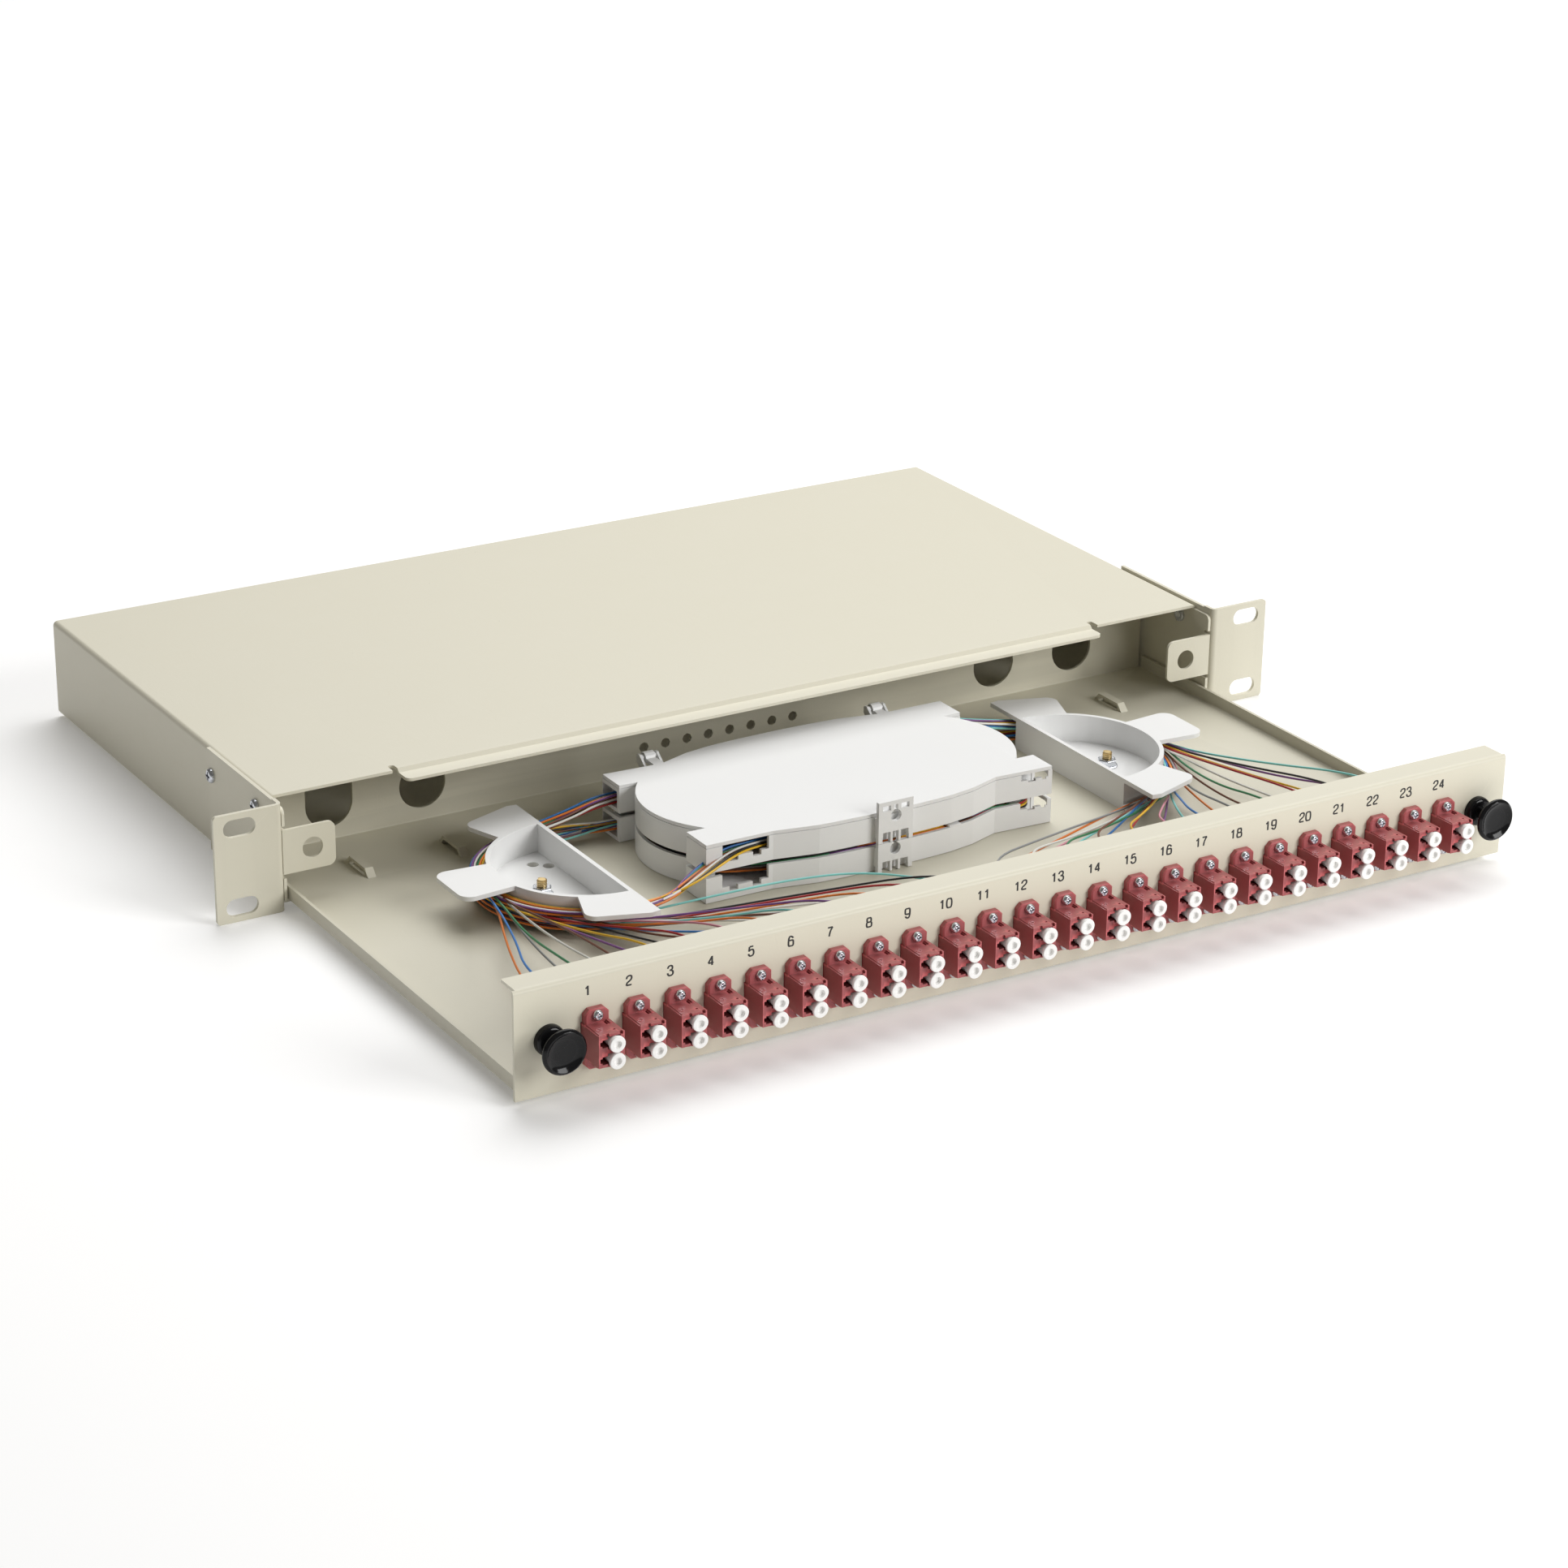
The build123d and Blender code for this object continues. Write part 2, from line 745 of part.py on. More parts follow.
def hinge_ears(top_z, x):
    """Two ears behind the rear wall and the barrel between them."""
    barrel_z = top_z + barrel_rise
    reach = hinge_barrel_radius + hinge_ear_rim
    half = hinge_hook_width / 2 + hinge_ear_gap
    side_view = outline(
        (hinge_root_y, top_z - hinge_ear_drop),
        (hinge_root_y, top_z),
        (hinge_ear_rise_y, top_z),
        (barrel_y - reach, barrel_z + reach / 2),
        (barrel_y - reach / 2, barrel_z + reach),
        (barrel_y + reach / 2, barrel_z + reach),
        (barrel_y + reach, barrel_z + reach / 2),
        (barrel_y + reach, barrel_z - reach),
        (hinge_ear_rise_y, top_z - hinge_ear_drop),
    )
    barrel = Pos(barrel_y, barrel_z) * Circle(hinge_barrel_radius)
    ears = along_x(barrel, (x - half, x + half))
    for side in (-1, 1):
        ear_x = sorted((x + side * half, x + side * (half + hinge_ear_thickness)))
        ears += along_x(side_view, ear_x)
    return ears


def hinge_hook(barrel_z, plate, x):
    """A C-shaped hook over a barrel, open downwards, and the plate that carries it."""
    inner = hinge_barrel_radius + hinge_clearance
    outer = inner + hinge_hook_wall
    ring = Pos(barrel_y, barrel_z) * RegularPolygon(outer, 12)
    ring += outline(
        (hinge_root_y, plate[0]),
        (hinge_root_y, plate[1]),
        (barrel_y - inner, plate[1]),
        (barrel_y - inner, plate[0]),
    )
    ring -= Pos(barrel_y, barrel_z) * facet_disc(inner)
    ring -= Pos(barrel_y, barrel_z - outer) * Rectangle(1.8 * hinge_barrel_radius, 2 * inner)
    half = hinge_hook_width / 2
    return along_x(ring, (x - half, x + half))


def column(low_z, top_z, keyhole_z):
    """The coupling plate at the front of a tray, with its keyhole and windows."""
    low = column_x - column_width / 2
    high = column_x + column_width / 2
    face = outline((low, low_z), (low, top_z), (high, top_z), (high, low_z))
    for i in (-1, 0, 1):
        # windows between the legs, open downwards
        window = Rectangle(window_width if i else middle_window_width, 2 * window_height)
        face -= Pos(column_x + i * window_pitch, low_z) * window
    face -= Pos(column_x, keyhole_z) * facet_disc(keyhole_radius, keyhole_sides)
    slot_top_z = top_z + 1
    if top_z - keyhole_z > 2 * keyhole_radius:
        # room over the keyhole to close its slot and for a window on each side
        slot_top_z = top_z - column_top_strip
        low_window_z = keyhole_z + keyhole_radius
        for side in (-1, 1):
            window = Rectangle(window_width, slot_top_z - low_window_z)
            face -= Pos(column_x + side * window_pitch, (slot_top_z + low_window_z) / 2) * window
    slot = Rectangle(keyhole_slot_width, slot_top_z - keyhole_z)
    face -= Pos(column_x, (slot_top_z + keyhole_z) / 2) * slot
    plate = along_y(face, (column_front_y, column_front_y + column_thickness))
    flank_y = (column_front_y, cassette_centre_y - 44.0)
    flank_z = (low_z + column_flank, low_z + cassette_wall_height - cassette_seat_gap)
    plate += span_box((low, low + column_flank), flank_y, flank_z)
    plate += span_box((high - column_flank, high), flank_y, flank_z)
    return plate


def inside_fittings(floor_z):
    """The mandrels that fibre is wound round and the comb for the splice protectors."""
    fittings = []
    for side in (-1, 1):
        ring = facet_disc(mandrel_radius, 16) - facet_disc(mandrel_radius - mandrel_wall, 16)
        ring -= Pos(-side * mandrel_radius, 0) * Rectangle(mandrel_radius, 2 * mandrel_radius)
        place = Pos(side * (cassette_end_x - 4.0), cassette_centre_y)
        fittings.append(along_z(place * ring, (floor_z, floor_z + mandrel_height)))
    for i in range(comb_slots + 1):
        y = cassette_centre_y + comb_pitch * (i - comb_slots / 2)
        for side in (-1, 1):
            x = sorted((side * comb_length / 2, side * comb_length / 4))
            y_span = (y - comb_rib / 2, y + comb_rib / 2)
            fittings.append(span_box(x, y_span, (floor_z, floor_z + comb_height)))
    return fittings


def cassette_tray(low_z):
    top_z = low_z + cassette_wall_height
    floor_z = low_z + cassette_floor
    tray = along_z(cassette_plan(), (low_z, top_z))
    tray -= along_z(cassette_plan(cassette_wall), (floor_z, top_z + 1))
    for fitting in inside_fittings(floor_z - 0.1):
        tray += fitting
    for side in (-1, 1):
        # side ports of the left rear and right front boxes
        x = sorted((side * (cassette_corner_x - 4.0), side * (cassette_corner_x + 1.0)))
        middle_y = cassette_centre_y - side * 33.4
        tray -= span_box(x, (middle_y - 5.6, middle_y + 5.6), (floor_z, top_z - 1.6))
        # open front of the left front box, and the same at the right rear
        x = sorted((side * 51.5, side * 71.5))
        wall_y = cassette_centre_y + side * 41.0
        tray -= span_box(x, (wall_y - 3.0, wall_y + 3.0), (low_z + 5.0, top_z + 1))
        for notch_x in (56.5, 66.5):
            x = (side * notch_x - 1.8, side * notch_x + 1.8)
            tray -= span_box(x, (wall_y - 3.0, wall_y + 3.0), (low_z + 3.2, low_z + 6.0))
        # low front of the right front box, and the same at the left rear
        x = sorted((side * low_port_start_x, side * low_port_end_x))
        wall_y = cassette_centre_y - side * 39.0
        tray -= span_box(x, (wall_y - 3.0, wall_y + 3.0), (top_z - low_port_depth, top_z + 1))
        for notch_x, half_width in low_port_notches:
            x = (side * notch_x - half_width, side * notch_x + half_width)
            low = top_z - low_port_depth - low_port_notch_depth
            tray -= span_box(x, (wall_y - 3.0, wall_y + 3.0), (low, top_z))
    for x in hinge_x:
        tray += hinge_ears(top_z, x)
    return tray


def lower_cassette():
    column_top_z = cassette_low_z + cassette_pitch - cassette_seat_gap
    keyhole_z = cassette_low_z + lower_keyhole_rise
    return cassette_tray(cassette_low_z) + column(cassette_low_z, column_top_z, keyhole_z)


def upper_cassette():
    low_z = cassette_low_z + cassette_pitch
    column_top_z = low_z + cassette_pitch + column_top_rise - cassette_seat_gap
    tray = cassette_tray(low_z) + column(low_z, column_top_z, low_z + upper_keyhole_rise)
    barrel_z = cassette_low_z + cassette_wall_height + barrel_rise
    for x in hinge_x:
        tray += hinge_hook(barrel_z, (low_z, low_z + cassette_floor), x)
    return tray


def cassette_lid():
    low_z = cassette_low_z + cassette_pitch + cassette_wall_height
    top_z = low_z + cassette_lid_thickness
    lid = along_z(cassette_plan(), (low_z, top_z))
    for x in hinge_x:
        lid += hinge_hook(low_z + barrel_rise, (low_z, top_z), x)
    return lid


def splice_protectors(low_z):
    """Twelve shrink sleeves in two layers, in the slots of the comb."""
    sleeves = []
    for layer in range(2):
        z = low_z + cassette_floor + protector_radius * (1 + 2.1 * layer)
        for i in range(comb_slots):
            y = cassette_centre_y + comb_pitch * (i + 0.5 - comb_slots / 2)
            face = Pos(y, z) * RegularPolygon(protector_radius, 6)
            half = protector_length / 2
            sleeves.append(along_x(face, (-half, half)))
    return Compound(children=sleeves)


# Fibre bundles


def bundle(points):
    """A tube along straight runs joined by tangent arcs."""
    radii = []
    for before, here, after in zip(points, points[1:], points[2:]):
        first = Vector(*here) - Vector(*before)
        second = Vector(*after) - Vector(*here)
        half_turn = radians(first.get_angle(second)) / 2
        radii.append(0.45 * min(first.length, second.length) / tan(half_turn))
    print("bundle radii", [round(radius, 1) for radius in radii])
    path = FilletPolyline(*points, radius=radii)
    section = Plane(origin=path @ 0, z_dir=path % 0) * RegularPolygon(bundle_radius, 5)
    tube = sweep(section, path)
    print("volume", round(tube.volume, 1), "section by length", round(section.area * path.length, 1))
    return tube


def guide_arc(side, z, angles):
    """Points round the outside of a guide, at the given angles from its outward axis."""
    reach = guide_radius + bundle_clearance + bundle_radius
    corner = reach / cos(radians(abs(angles[1] - angles[0]) / 2))
    return [
        (
            side * (guide_x + corner * cos(radians(angle))),
            guide_y + corner * sin(radians(angle)),
            z,
        )
        for angle in angles
    ]


def bundle_left():
    z = floor_top_z + bundle_radius + 0.6
    points = [(-79.0, -6.6, z + 2.0), (-95.0, -4.6, z + 1.0)]
    points += guide_arc(-1, z, (75, 35, -5, -45))
    points += [(-112.0, -104.0, z + 1.0), (-96.0, -128.0, z + 4.0), (-86.2, -149.0, z + 8.0)]
    return bundle(points)


def bundle_right():
    z = floor_top_z + bundle_radius + 0.6
    points = [(62.0, 3.6, z + 2.0), (80.0, 6.0, z + 1.0), (98.0, 2.0, z)]
    points += guide_arc(1, z, (75, 35, -5, -45))
    points += [(128.0, -104.0, z + 1.0), (117.0, -128.0, z + 4.0), (105.8, -149.0, z + 8.0)]
    return bundle(points)


def main():
    os.makedirs("parts", exist_ok=True)
    save("housing_cover", housing_cover())
    right_ear, left_ear = both_sides(ear_bracket())
    save("right_ear_bracket", right_ear)
    save("left_ear_bracket", left_ear)
    save("ear_screws", on_both_walls(ear_screw))
    save("ear_clinch_nuts", on_both_walls(clinch_nut))
    save("drawer_tray", drawer_tray())
    save("front_panel", front_panel())
    for number, x in enumerate(adapter_x, start=1):
        save(f"adapter_{number:02d}", adapter(x))
    save("dust_caps", dust_caps())
    save("pigtail_plugs", pigtail_plugs())
    for name, make in (("grommet", latch_grommet), ("plunger", latch_plunger)):
        right, left = both_sides(make())
        save(f"right_latch_{name}", right)
        save(f"left_latch_{name}", left)
    guide = fibre_guide()
    save("right_fibre_guide", guide)
    save("left_fibre_guide", other_side(guide))
    save("guide_studs", Compound(children=[guide_stud(), other_side(guide_stud())]))
    save("guide_nuts", Compound(children=[guide_nut(), other_side(guide_nut())]))
    save("lower_cassette", lower_cassette())
    save("lower_splice_protectors", splice_protectors(cassette_low_z))
    save("upper_cassette", upper_cassette())
    save("upper_splice_protectors", splice_protectors(cassette_low_z + cassette_pitch))
    save("cassette_lid", cassette_lid())
    save("fibre_bundle_left", bundle_left())
    save("fibre_bundle_right", bundle_right())


main()
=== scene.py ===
"""A sliding fibre splice box with its drawer pulled out: finishes, small parts and fibres."""

from itertools import product
from math import ceil, cos, degrees, pi, radians, sin, tau
from random import Random

import bmesh
import bpy
from bpy.props import FloatProperty, FloatVectorProperty, IntProperty, PointerProperty
from mathutils import Matrix, Vector


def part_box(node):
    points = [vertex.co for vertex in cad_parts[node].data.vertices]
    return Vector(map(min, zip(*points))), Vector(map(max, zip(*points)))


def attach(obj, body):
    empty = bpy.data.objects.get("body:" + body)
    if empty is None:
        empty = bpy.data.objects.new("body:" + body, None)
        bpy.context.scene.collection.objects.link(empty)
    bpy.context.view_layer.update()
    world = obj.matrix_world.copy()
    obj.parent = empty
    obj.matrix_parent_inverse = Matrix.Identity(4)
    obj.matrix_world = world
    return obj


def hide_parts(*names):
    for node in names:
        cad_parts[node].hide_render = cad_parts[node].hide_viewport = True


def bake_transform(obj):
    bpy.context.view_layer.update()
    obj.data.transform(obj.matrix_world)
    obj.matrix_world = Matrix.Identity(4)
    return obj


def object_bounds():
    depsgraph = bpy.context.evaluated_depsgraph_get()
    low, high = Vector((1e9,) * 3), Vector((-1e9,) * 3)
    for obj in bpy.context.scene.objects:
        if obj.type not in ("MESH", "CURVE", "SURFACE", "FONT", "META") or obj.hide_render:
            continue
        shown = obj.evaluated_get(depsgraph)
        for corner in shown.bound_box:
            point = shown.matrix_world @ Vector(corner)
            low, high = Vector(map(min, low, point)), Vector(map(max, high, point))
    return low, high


bl_info = {
    "name": "Fibre splice box",
    "version": (1, 0, 0),
    "blender": (4, 5, 0),
    "location": "3D View > Sidebar > Splice box",
    "description": "Finishes, fasteners and fibres of a sliding fibre splice box",
    "category": "Object",
}

# Pieces are drawn in millimetres in the model's own frame, and scaled to metres when they are made.
MM = 0.001
RIGHT, LEFT = 1, -1
INTO_PANEL = Vector((0, 1, 0))
OUT_OF_PANEL = Vector((0, -1, 0))
UP = Vector((0, 0, 1))

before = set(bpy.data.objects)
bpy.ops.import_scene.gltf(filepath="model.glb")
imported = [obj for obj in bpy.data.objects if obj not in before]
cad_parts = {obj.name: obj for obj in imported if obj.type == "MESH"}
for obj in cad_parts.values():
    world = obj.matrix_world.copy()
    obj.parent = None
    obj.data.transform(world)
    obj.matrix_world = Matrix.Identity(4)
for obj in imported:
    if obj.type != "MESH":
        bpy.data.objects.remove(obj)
model_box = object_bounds()


def place_of(node):
    """The lowest and highest corner of a node of the model, in millimetres."""
    return [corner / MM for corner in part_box(node)]


def middle_x(node):
    low, high = place_of(node)
    return (low.x + high.x) / 2


adapter_nodes = sorted(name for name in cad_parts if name.startswith("adapter_"))
adapter_middles = [middle_x(node) for node in adapter_nodes]
adapter_front_y, adapter_rear_y = (corner.y for corner in place_of(adapter_nodes[0]))
panel_front_y = place_of("front_panel")[0].y
floor_z = place_of("lower_cassette")[0].z - 0.2
guide_nut_low_z = place_of("guide_nuts")[0].z
guide_stud_high_z = place_of("guide_studs")[1].z

# An adapter: its ports and plugs to the side of its middle, their heights and the plugs' lengths, and
# how thick its flange is and where the flange's screws are.
PORT_SIDE, PORT_HEIGHTS = 1.0, (1.3, -4.95)
PLUG_SIDE, PLUG_HEIGHTS = 1.8, (1.625, -4.625)
PLUG_LENGTH, BOOT_LENGTH = 10.0, 13.0
ADAPTER_FLANGE, FLANGE_SCREW_HEIGHTS = 2.5, (7.3, -10.3)

LATCH_X, LATCH_Z = 201.3, 1.3
# A guide: the middle of its half round, its radius, and how far outwards its stud is.
GUIDE_X, GUIDE_Y, GUIDE_RADIUS = 110.2, -46.0, 38.0
STUD_OUT = 19.0
# Fibres lie side by side in lanes round a guide, in layers. They meet it at this angle from its axis.
FIBRE_PITCH, LAYER_PITCH = 0.95, 1.9
LANES = 6
MEET_ANGLE = 95.0
# The (y, z) places of the ears' screws, and the faces that their heads and their nuts sit on.
EAR_SCREWS = ((19.5, 13.5), (61.0, 11.0))
EAR_FACE_X, WALL_INNER_X = 215.0, 212.3
# The middle of the cassettes, and the height of the floor inside each.
CASSETTE_Y = -40.0
CASSETTE_FLOORS = {"drawer": -16.3, "upper_cassette": -4.3}
# Splice protectors: half their length, their distance in the comb, and how many lie in a row.
SLEEVE_REACH, SLEEVE_PITCH = 20.0, 3.4
SLEEVES_IN_ROW = 6

# Digits: their height on the panel, and their stroke and pitch as shares of their size.
DIGIT_Z = 15.9
DIGIT_STROKE, DIGIT_PITCH = 0.078, 0.64
DIGIT_WIDENING, INK_FLATTENING = 1.2, 0.05

# Edges flatter than these are shaded as smooth, and aren't rounded.
SMOOTH_ANGLE = radians(32)
BEVEL_ANGLE = radians(33)
WELD_DISTANCE = 0.000004


def measure(name, description, default, least=0.0):
    return FloatProperty(name=name, description=description, default=default, min=least, unit="LENGTH")


def tint(name, description, default):
    return FloatVectorProperty(
        name=name, description=description, default=default, subtype="COLOR", min=0.0, max=1.0
    )


class SpliceBoxSizes(bpy.types.PropertyGroup):
    """Sizes of the small pieces that are made here."""

    sheet_edge: measure("Sheet edge", "Rounding of the cut edges of the coated sheet", 0.00028)
    moulded_edge: measure("Moulded edge", "Rounding of the edges of the white mouldings", 0.0004)
    digit_size: measure("Digit size", "Height of the port numbers", 0.0039, 0.001)
    fibre_diameter: measure("Fibre diameter", "Outside diameter of a coated fibre", 0.0009, 0.0002)
    cap_bore: measure("Cap bore", "Diameter of the hole in a dust cap", 0.0027, 0.0005)
    round_steps: IntProperty(
        name="Round steps", description="Number of flats round a turned piece", default=32, min=8, max=96
    )


class SpliceBoxFinishes(bpy.types.PropertyGroup):
    """Colours of the finishes."""

    coat: tint("Coat", "Powder coat of the sheet metal", (0.66, 0.63, 0.512))
    adapter: tint("Adapter", "Plastic of the duplex adapters", (0.39, 0.088, 0.092))
    moulding: tint("Moulding", "Plastic of the cassettes and fibre guides", (0.81, 0.812, 0.805))
    knob: tint("Knob", "Plastic of the push latches", (0.0055, 0.0055, 0.006))
    ink: tint("Ink", "Printed port numbers", (0.016, 0.016, 0.016))


DUST_COLOUR = (0.72, 0.70, 0.65)
FIBRE_COLOURS = {
    "blue": (0.035, 0.20, 0.55),
    "orange": (0.83, 0.22, 0.03),
    "green": (0.04, 0.24, 0.10),
    "brown": (0.17, 0.06, 0.03),
    "slate": (0.28, 0.29, 0.29),
    "white": (0.80, 0.79, 0.74),
    "red": (0.42, 0.018, 0.02),
    "black": (0.014, 0.013, 0.013),
    "yellow": (0.80, 0.48, 0.02),
    "violet": (0.21, 0.075, 0.27),
    "rose": (0.72, 0.30, 0.38),
    "aqua": (0.24, 0.66, 0.62),
}

# Fibres from the outermost port inwards, as they leave each guide.
LEFT_ORDER = (
    "blue orange green slate brown white yellow violet red black rose brown "
    "orange blue aqua white violet brown orange slate red white black aqua"
).split()
RIGHT_ORDER = (
    "aqua violet black yellow red white green brown slate orange blue aqua "
    "rose violet yellow red brown blue green aqua white rose slate orange"
).split()
LAST_FIBRE = len(LEFT_ORDER) - 1
LOOP_ORDER = "yellow black yellow white orange brown orange green blue violet".split()
COIL_ORDER = "black violet blue yellow orange green white red brown slate rose aqua".split()
PORT_FAN_ORDER = "red green brown yellow blue white black slate".split()

# The longest fibre lies in a bow along the front of the cassettes.
BOW = ((-76, -93.0, -9.0), (-49, -94.5, -9.0), (-23, -101.0, -9.0), (-4.5, -119.0, -9.0))

# Fibres in the gap between the cassettes: colour, row, and where they come up and go down again.
GAP_FIBRES = (
    ("green", 0, -46, -26),
    ("violet", 0, -24, -6),
    ("orange", 0, -2, 28),
    ("brown", 0, 32, 44),
    ("black", 1, -44, -12),
    ("orange", 1, -12, 2),
    ("yellow", 1, 4, 27),
    ("black", 1, 28, 42),
    ("red", 2, -40, -8),
    ("brown", 2, -4, 30),
)
# The rows: how far behind the front wall, and the height.
GAP_ROWS = ((2.1, -8.1), (2.9, -7.55), (3.8, -8.3))
FRONT_WALL = (
    (-60.0, -79.0),
    (-47.0, -81.6),
    (-31.4, -84.9),
    (0.0, -86.0),
    (28.1, -84.9),
    (39.5, -82.9),
    (53.5, -78.0),
    (80.0, -79.3),
)

# Where fibres from each side of the upper cassette leave the drawer, and where they join the cassette.
UPPER_LEADS = {
    "left": ((-97.0, -4.0, 0.0), (-83.6, 8.1, 0.0)),
    "right": ((92.0, 0.0, 0.0), (77.6, 12.9, 0.0)),
    "front": ((-86.0, -66.7, 0.0), (-56.6, -75.5, 0.0)),
}

# Centre lines of the digits, as control points in a cell one unit high. A ring ends where it starts.
LOW_BOWL = (
    ((0.25, 0.6), (0.45, 0.6), (0.47, 0.33), (0.45, 0.06), (0.25, 0.06))
    + ((0.06, 0.06), (0.04, 0.33), (0.06, 0.6), (0.25, 0.6))
)
SIX_BACK = ((0.44, 0.78), (0.40, 0.95), (0.05, 1.02), (0.045, 0.33))
DIGIT_STROKES = {
    "0": (
        ((0.25, 0.94), (0.44, 0.94), (0.49, 0.5), (0.44, 0.06), (0.25, 0.06))
        + ((0.06, 0.06), (0.01, 0.5), (0.06, 0.94), (0.25, 0.94)),
    ),
    "1": (((0.09, 0.75), (0.27, 0.77), (0.29, 0.96)), ((0.29, 0.94), (0.29, 0.06))),
    "2": (
        ((0.05, 0.68), (0.06, 0.94), (0.46, 0.98), (0.48, 0.62))
        + ((0.25, 0.42), (0.05, 0.28), (0.04, 0.06)),
        ((0.04, 0.07), (0.46, 0.07)),
    ),
    "3": (
        ((0.06, 0.72), (0.08, 0.95), (0.44, 0.98), (0.45, 0.54), (0.2, 0.53)),
        ((0.2, 0.53), (0.48, 0.54), (0.50, 0.04), (0.06, 0.0), (0.04, 0.3)),
    ),
    "4": (((0.36, 0.06), (0.36, 0.94)), ((0.36, 0.92), (0.04, 0.3)), ((0.04, 0.29), (0.48, 0.29))),
    "5": (
        ((0.44, 0.93), (0.12, 0.93)),
        ((0.12, 0.93), (0.07, 0.49)),
        ((0.07, 0.49), (0.15, 0.63), (0.47, 0.64), (0.48, 0.05), (0.06, 0.0), (0.04, 0.27)),
    ),
    "6": (LOW_BOWL, SIX_BACK),
    "7": (((0.04, 0.93), (0.47, 0.93)), ((0.47, 0.93), (0.22, 0.6), (0.17, 0.06))),
    "8": (
        ((0.25, 0.94), (0.43, 0.94), (0.43, 0.53), (0.25, 0.53))
        + ((0.07, 0.53), (0.07, 0.94), (0.25, 0.94)),
        ((0.25, 0.53), (0.47, 0.53), (0.47, 0.06), (0.25, 0.06))
        + ((0.03, 0.06), (0.03, 0.53), (0.25, 0.53)),
    ),
    "9": tuple(tuple((0.5 - x, 1.0 - y) for x, y in stroke) for stroke in (LOW_BOWL, SIX_BACK)),
}

# The floor's half width in metres, the lights with their place, aim, size and power, and the camera.
FLOOR_REACH = 6.0
LIGHTS = (
    ("overhead_softbox", (0.8, 0.8, 1.8), (0.0, 0, 0), 2.2, 50.5),
    ("front_softbox", (1.15, -1.85, 1.0), (0, -0.1, 0), 1.2, 38.5),
)
CAMERA_PLACE = (-0.76419, -1.26541, 0.59637)
CAMERA_RIGHT = Vector((0.85696, -0.51528, 0.01053))
CAMERA_BACK = Vector((-0.47970, -0.78999, 0.38184))


def sizes():
    return bpy.context.scene.splice_box_sizes


def finishes():
    return bpy.context.scene.splice_box_finishes


# Shader nodes


def feed(tree, socket, value):
    """Gives a socket a fixed value, or links the output of another node to it."""
    if isinstance(value, bpy.types.NodeSocket):
        tree.links.new(value, socket)
    else:
        socket.default_value = value


def add_node(tree, kind, inputs=None, **settings):
    """Adds a shader node with its settings and inputs, and returns its outputs."""
    made = tree.nodes.new(f"ShaderNode{kind}")
    for name, value in settings.items():
        setattr(made, name, value)
    for name, value in (inputs or {}).items():
        feed(tree, made.inputs[name], value)
    return made.outputs


def maths(tree, operation, *values):
    return add_node(tree, "Math", dict(enumerate(values)), operation=operation)["Value"]


def noise(tree, place, scale, detail, roughness=0.5):
    inputs = {"Vector": place, "Scale": scale, "Detail": detail, "Roughness": roughness}
    return add_node(tree, "TexNoise", inputs)["Fac"]


def ramp(tree, value, low, high=1.0):
    """A value that rises from 0 at low to 1 at high."""
    return add_node(tree, "MapRange", {"Value": value, "From Min": low, "From Max": high})["Result"]


def surface_play(tree, given):
    """Fine grain, slow drift of tone, sparse flecks and bright edges, partly rubbed wear and partly a
    painted highlight.
    """
    grain = noise(tree, given["Place"], given["Grain Scale"], detail=3.0)
    drift = noise(tree, given["Place"], given["Drift Scale"], detail=5.0, roughness=0.6)
    cells = add_node(tree, "TexVoronoi", {"Vector": given["Place"], "Scale": given["Fleck Scale"]})
    chosen = add_node(tree, "SeparateColor", {"Color": cells["Color"]})["Red"]
    rare = maths(tree, "LESS_THAN", chosen, given["Fleck Share"])
    fleck_radius = 0.13
    near = maths(tree, "LESS_THAN", cells["Distance"], fleck_radius)
    # convex edges lightened: partly rubbed wear, partly a painted highlight
    ridge = ramp(tree, add_node(tree, "NewGeometry")["Pointiness"], 0.52, 0.62)
    fleck = maths(tree, "MULTIPLY", rare, near)
    return grain, drift, fleck, maths(tree, "MULTIPLY", ridge, given["Edge Rub And Highlight"])


def fine_scratches(tree, given):
    """Hairlines in two crossing directions, as handling leaves them."""
    strokes = []
    for turn, stretch in ((0.5, (1.0, 14.0, 1.0)), (-0.9, (16.0, 1.0, 3.0))):
        inputs = {"Vector": given["Place"], "Rotation": (0.2, turn, turn), "Scale": stretch}
        lines = noise(tree, add_node(tree, "Mapping", inputs)["Vector"], given["Scale"], detail=2.0)
        strokes.append(ramp(tree, lines, 0.62, 0.70))
    return [maths(tree, "MULTIPLY", maths(tree, "MAXIMUM", *strokes), given["Share"])]


def settled_dust(tree, given):
    """Thin dust on faces that look up."""
    normal = add_node(tree, "NewGeometry")["Normal"]
    upward = ramp(tree, add_node(tree, "SeparateXYZ", {"Vector": normal})["Z"], 0.7)
    clouds = noise(tree, given["Place"], scale=25.0, detail=8.0, roughness=0.75)
    patches = ramp(tree, clouds, 0.42, 0.72)
    return [maths(tree, "MULTIPLY", maths(tree, "MULTIPLY", upward, patches), given["Amount"])]


# The inputs of each effect with their usual values, and its outputs.
EFFECTS = {
    surface_play: (
        {
            "Grain Scale": 1200.0,
            "Drift Scale": 12.0,
            "Fleck Scale": 700.0,
            "Fleck Share": 0.01,
            "Edge Rub And Highlight": 0.3,
        },
        ("Grain", "Drift", "Fleck", "Edge"),
    ),
    fine_scratches: ({"Scale": 60.0, "Share": 0.3}, ("Scratch",)),
    settled_dust: ({"Amount": 0.1}, ("Dust",)),
}


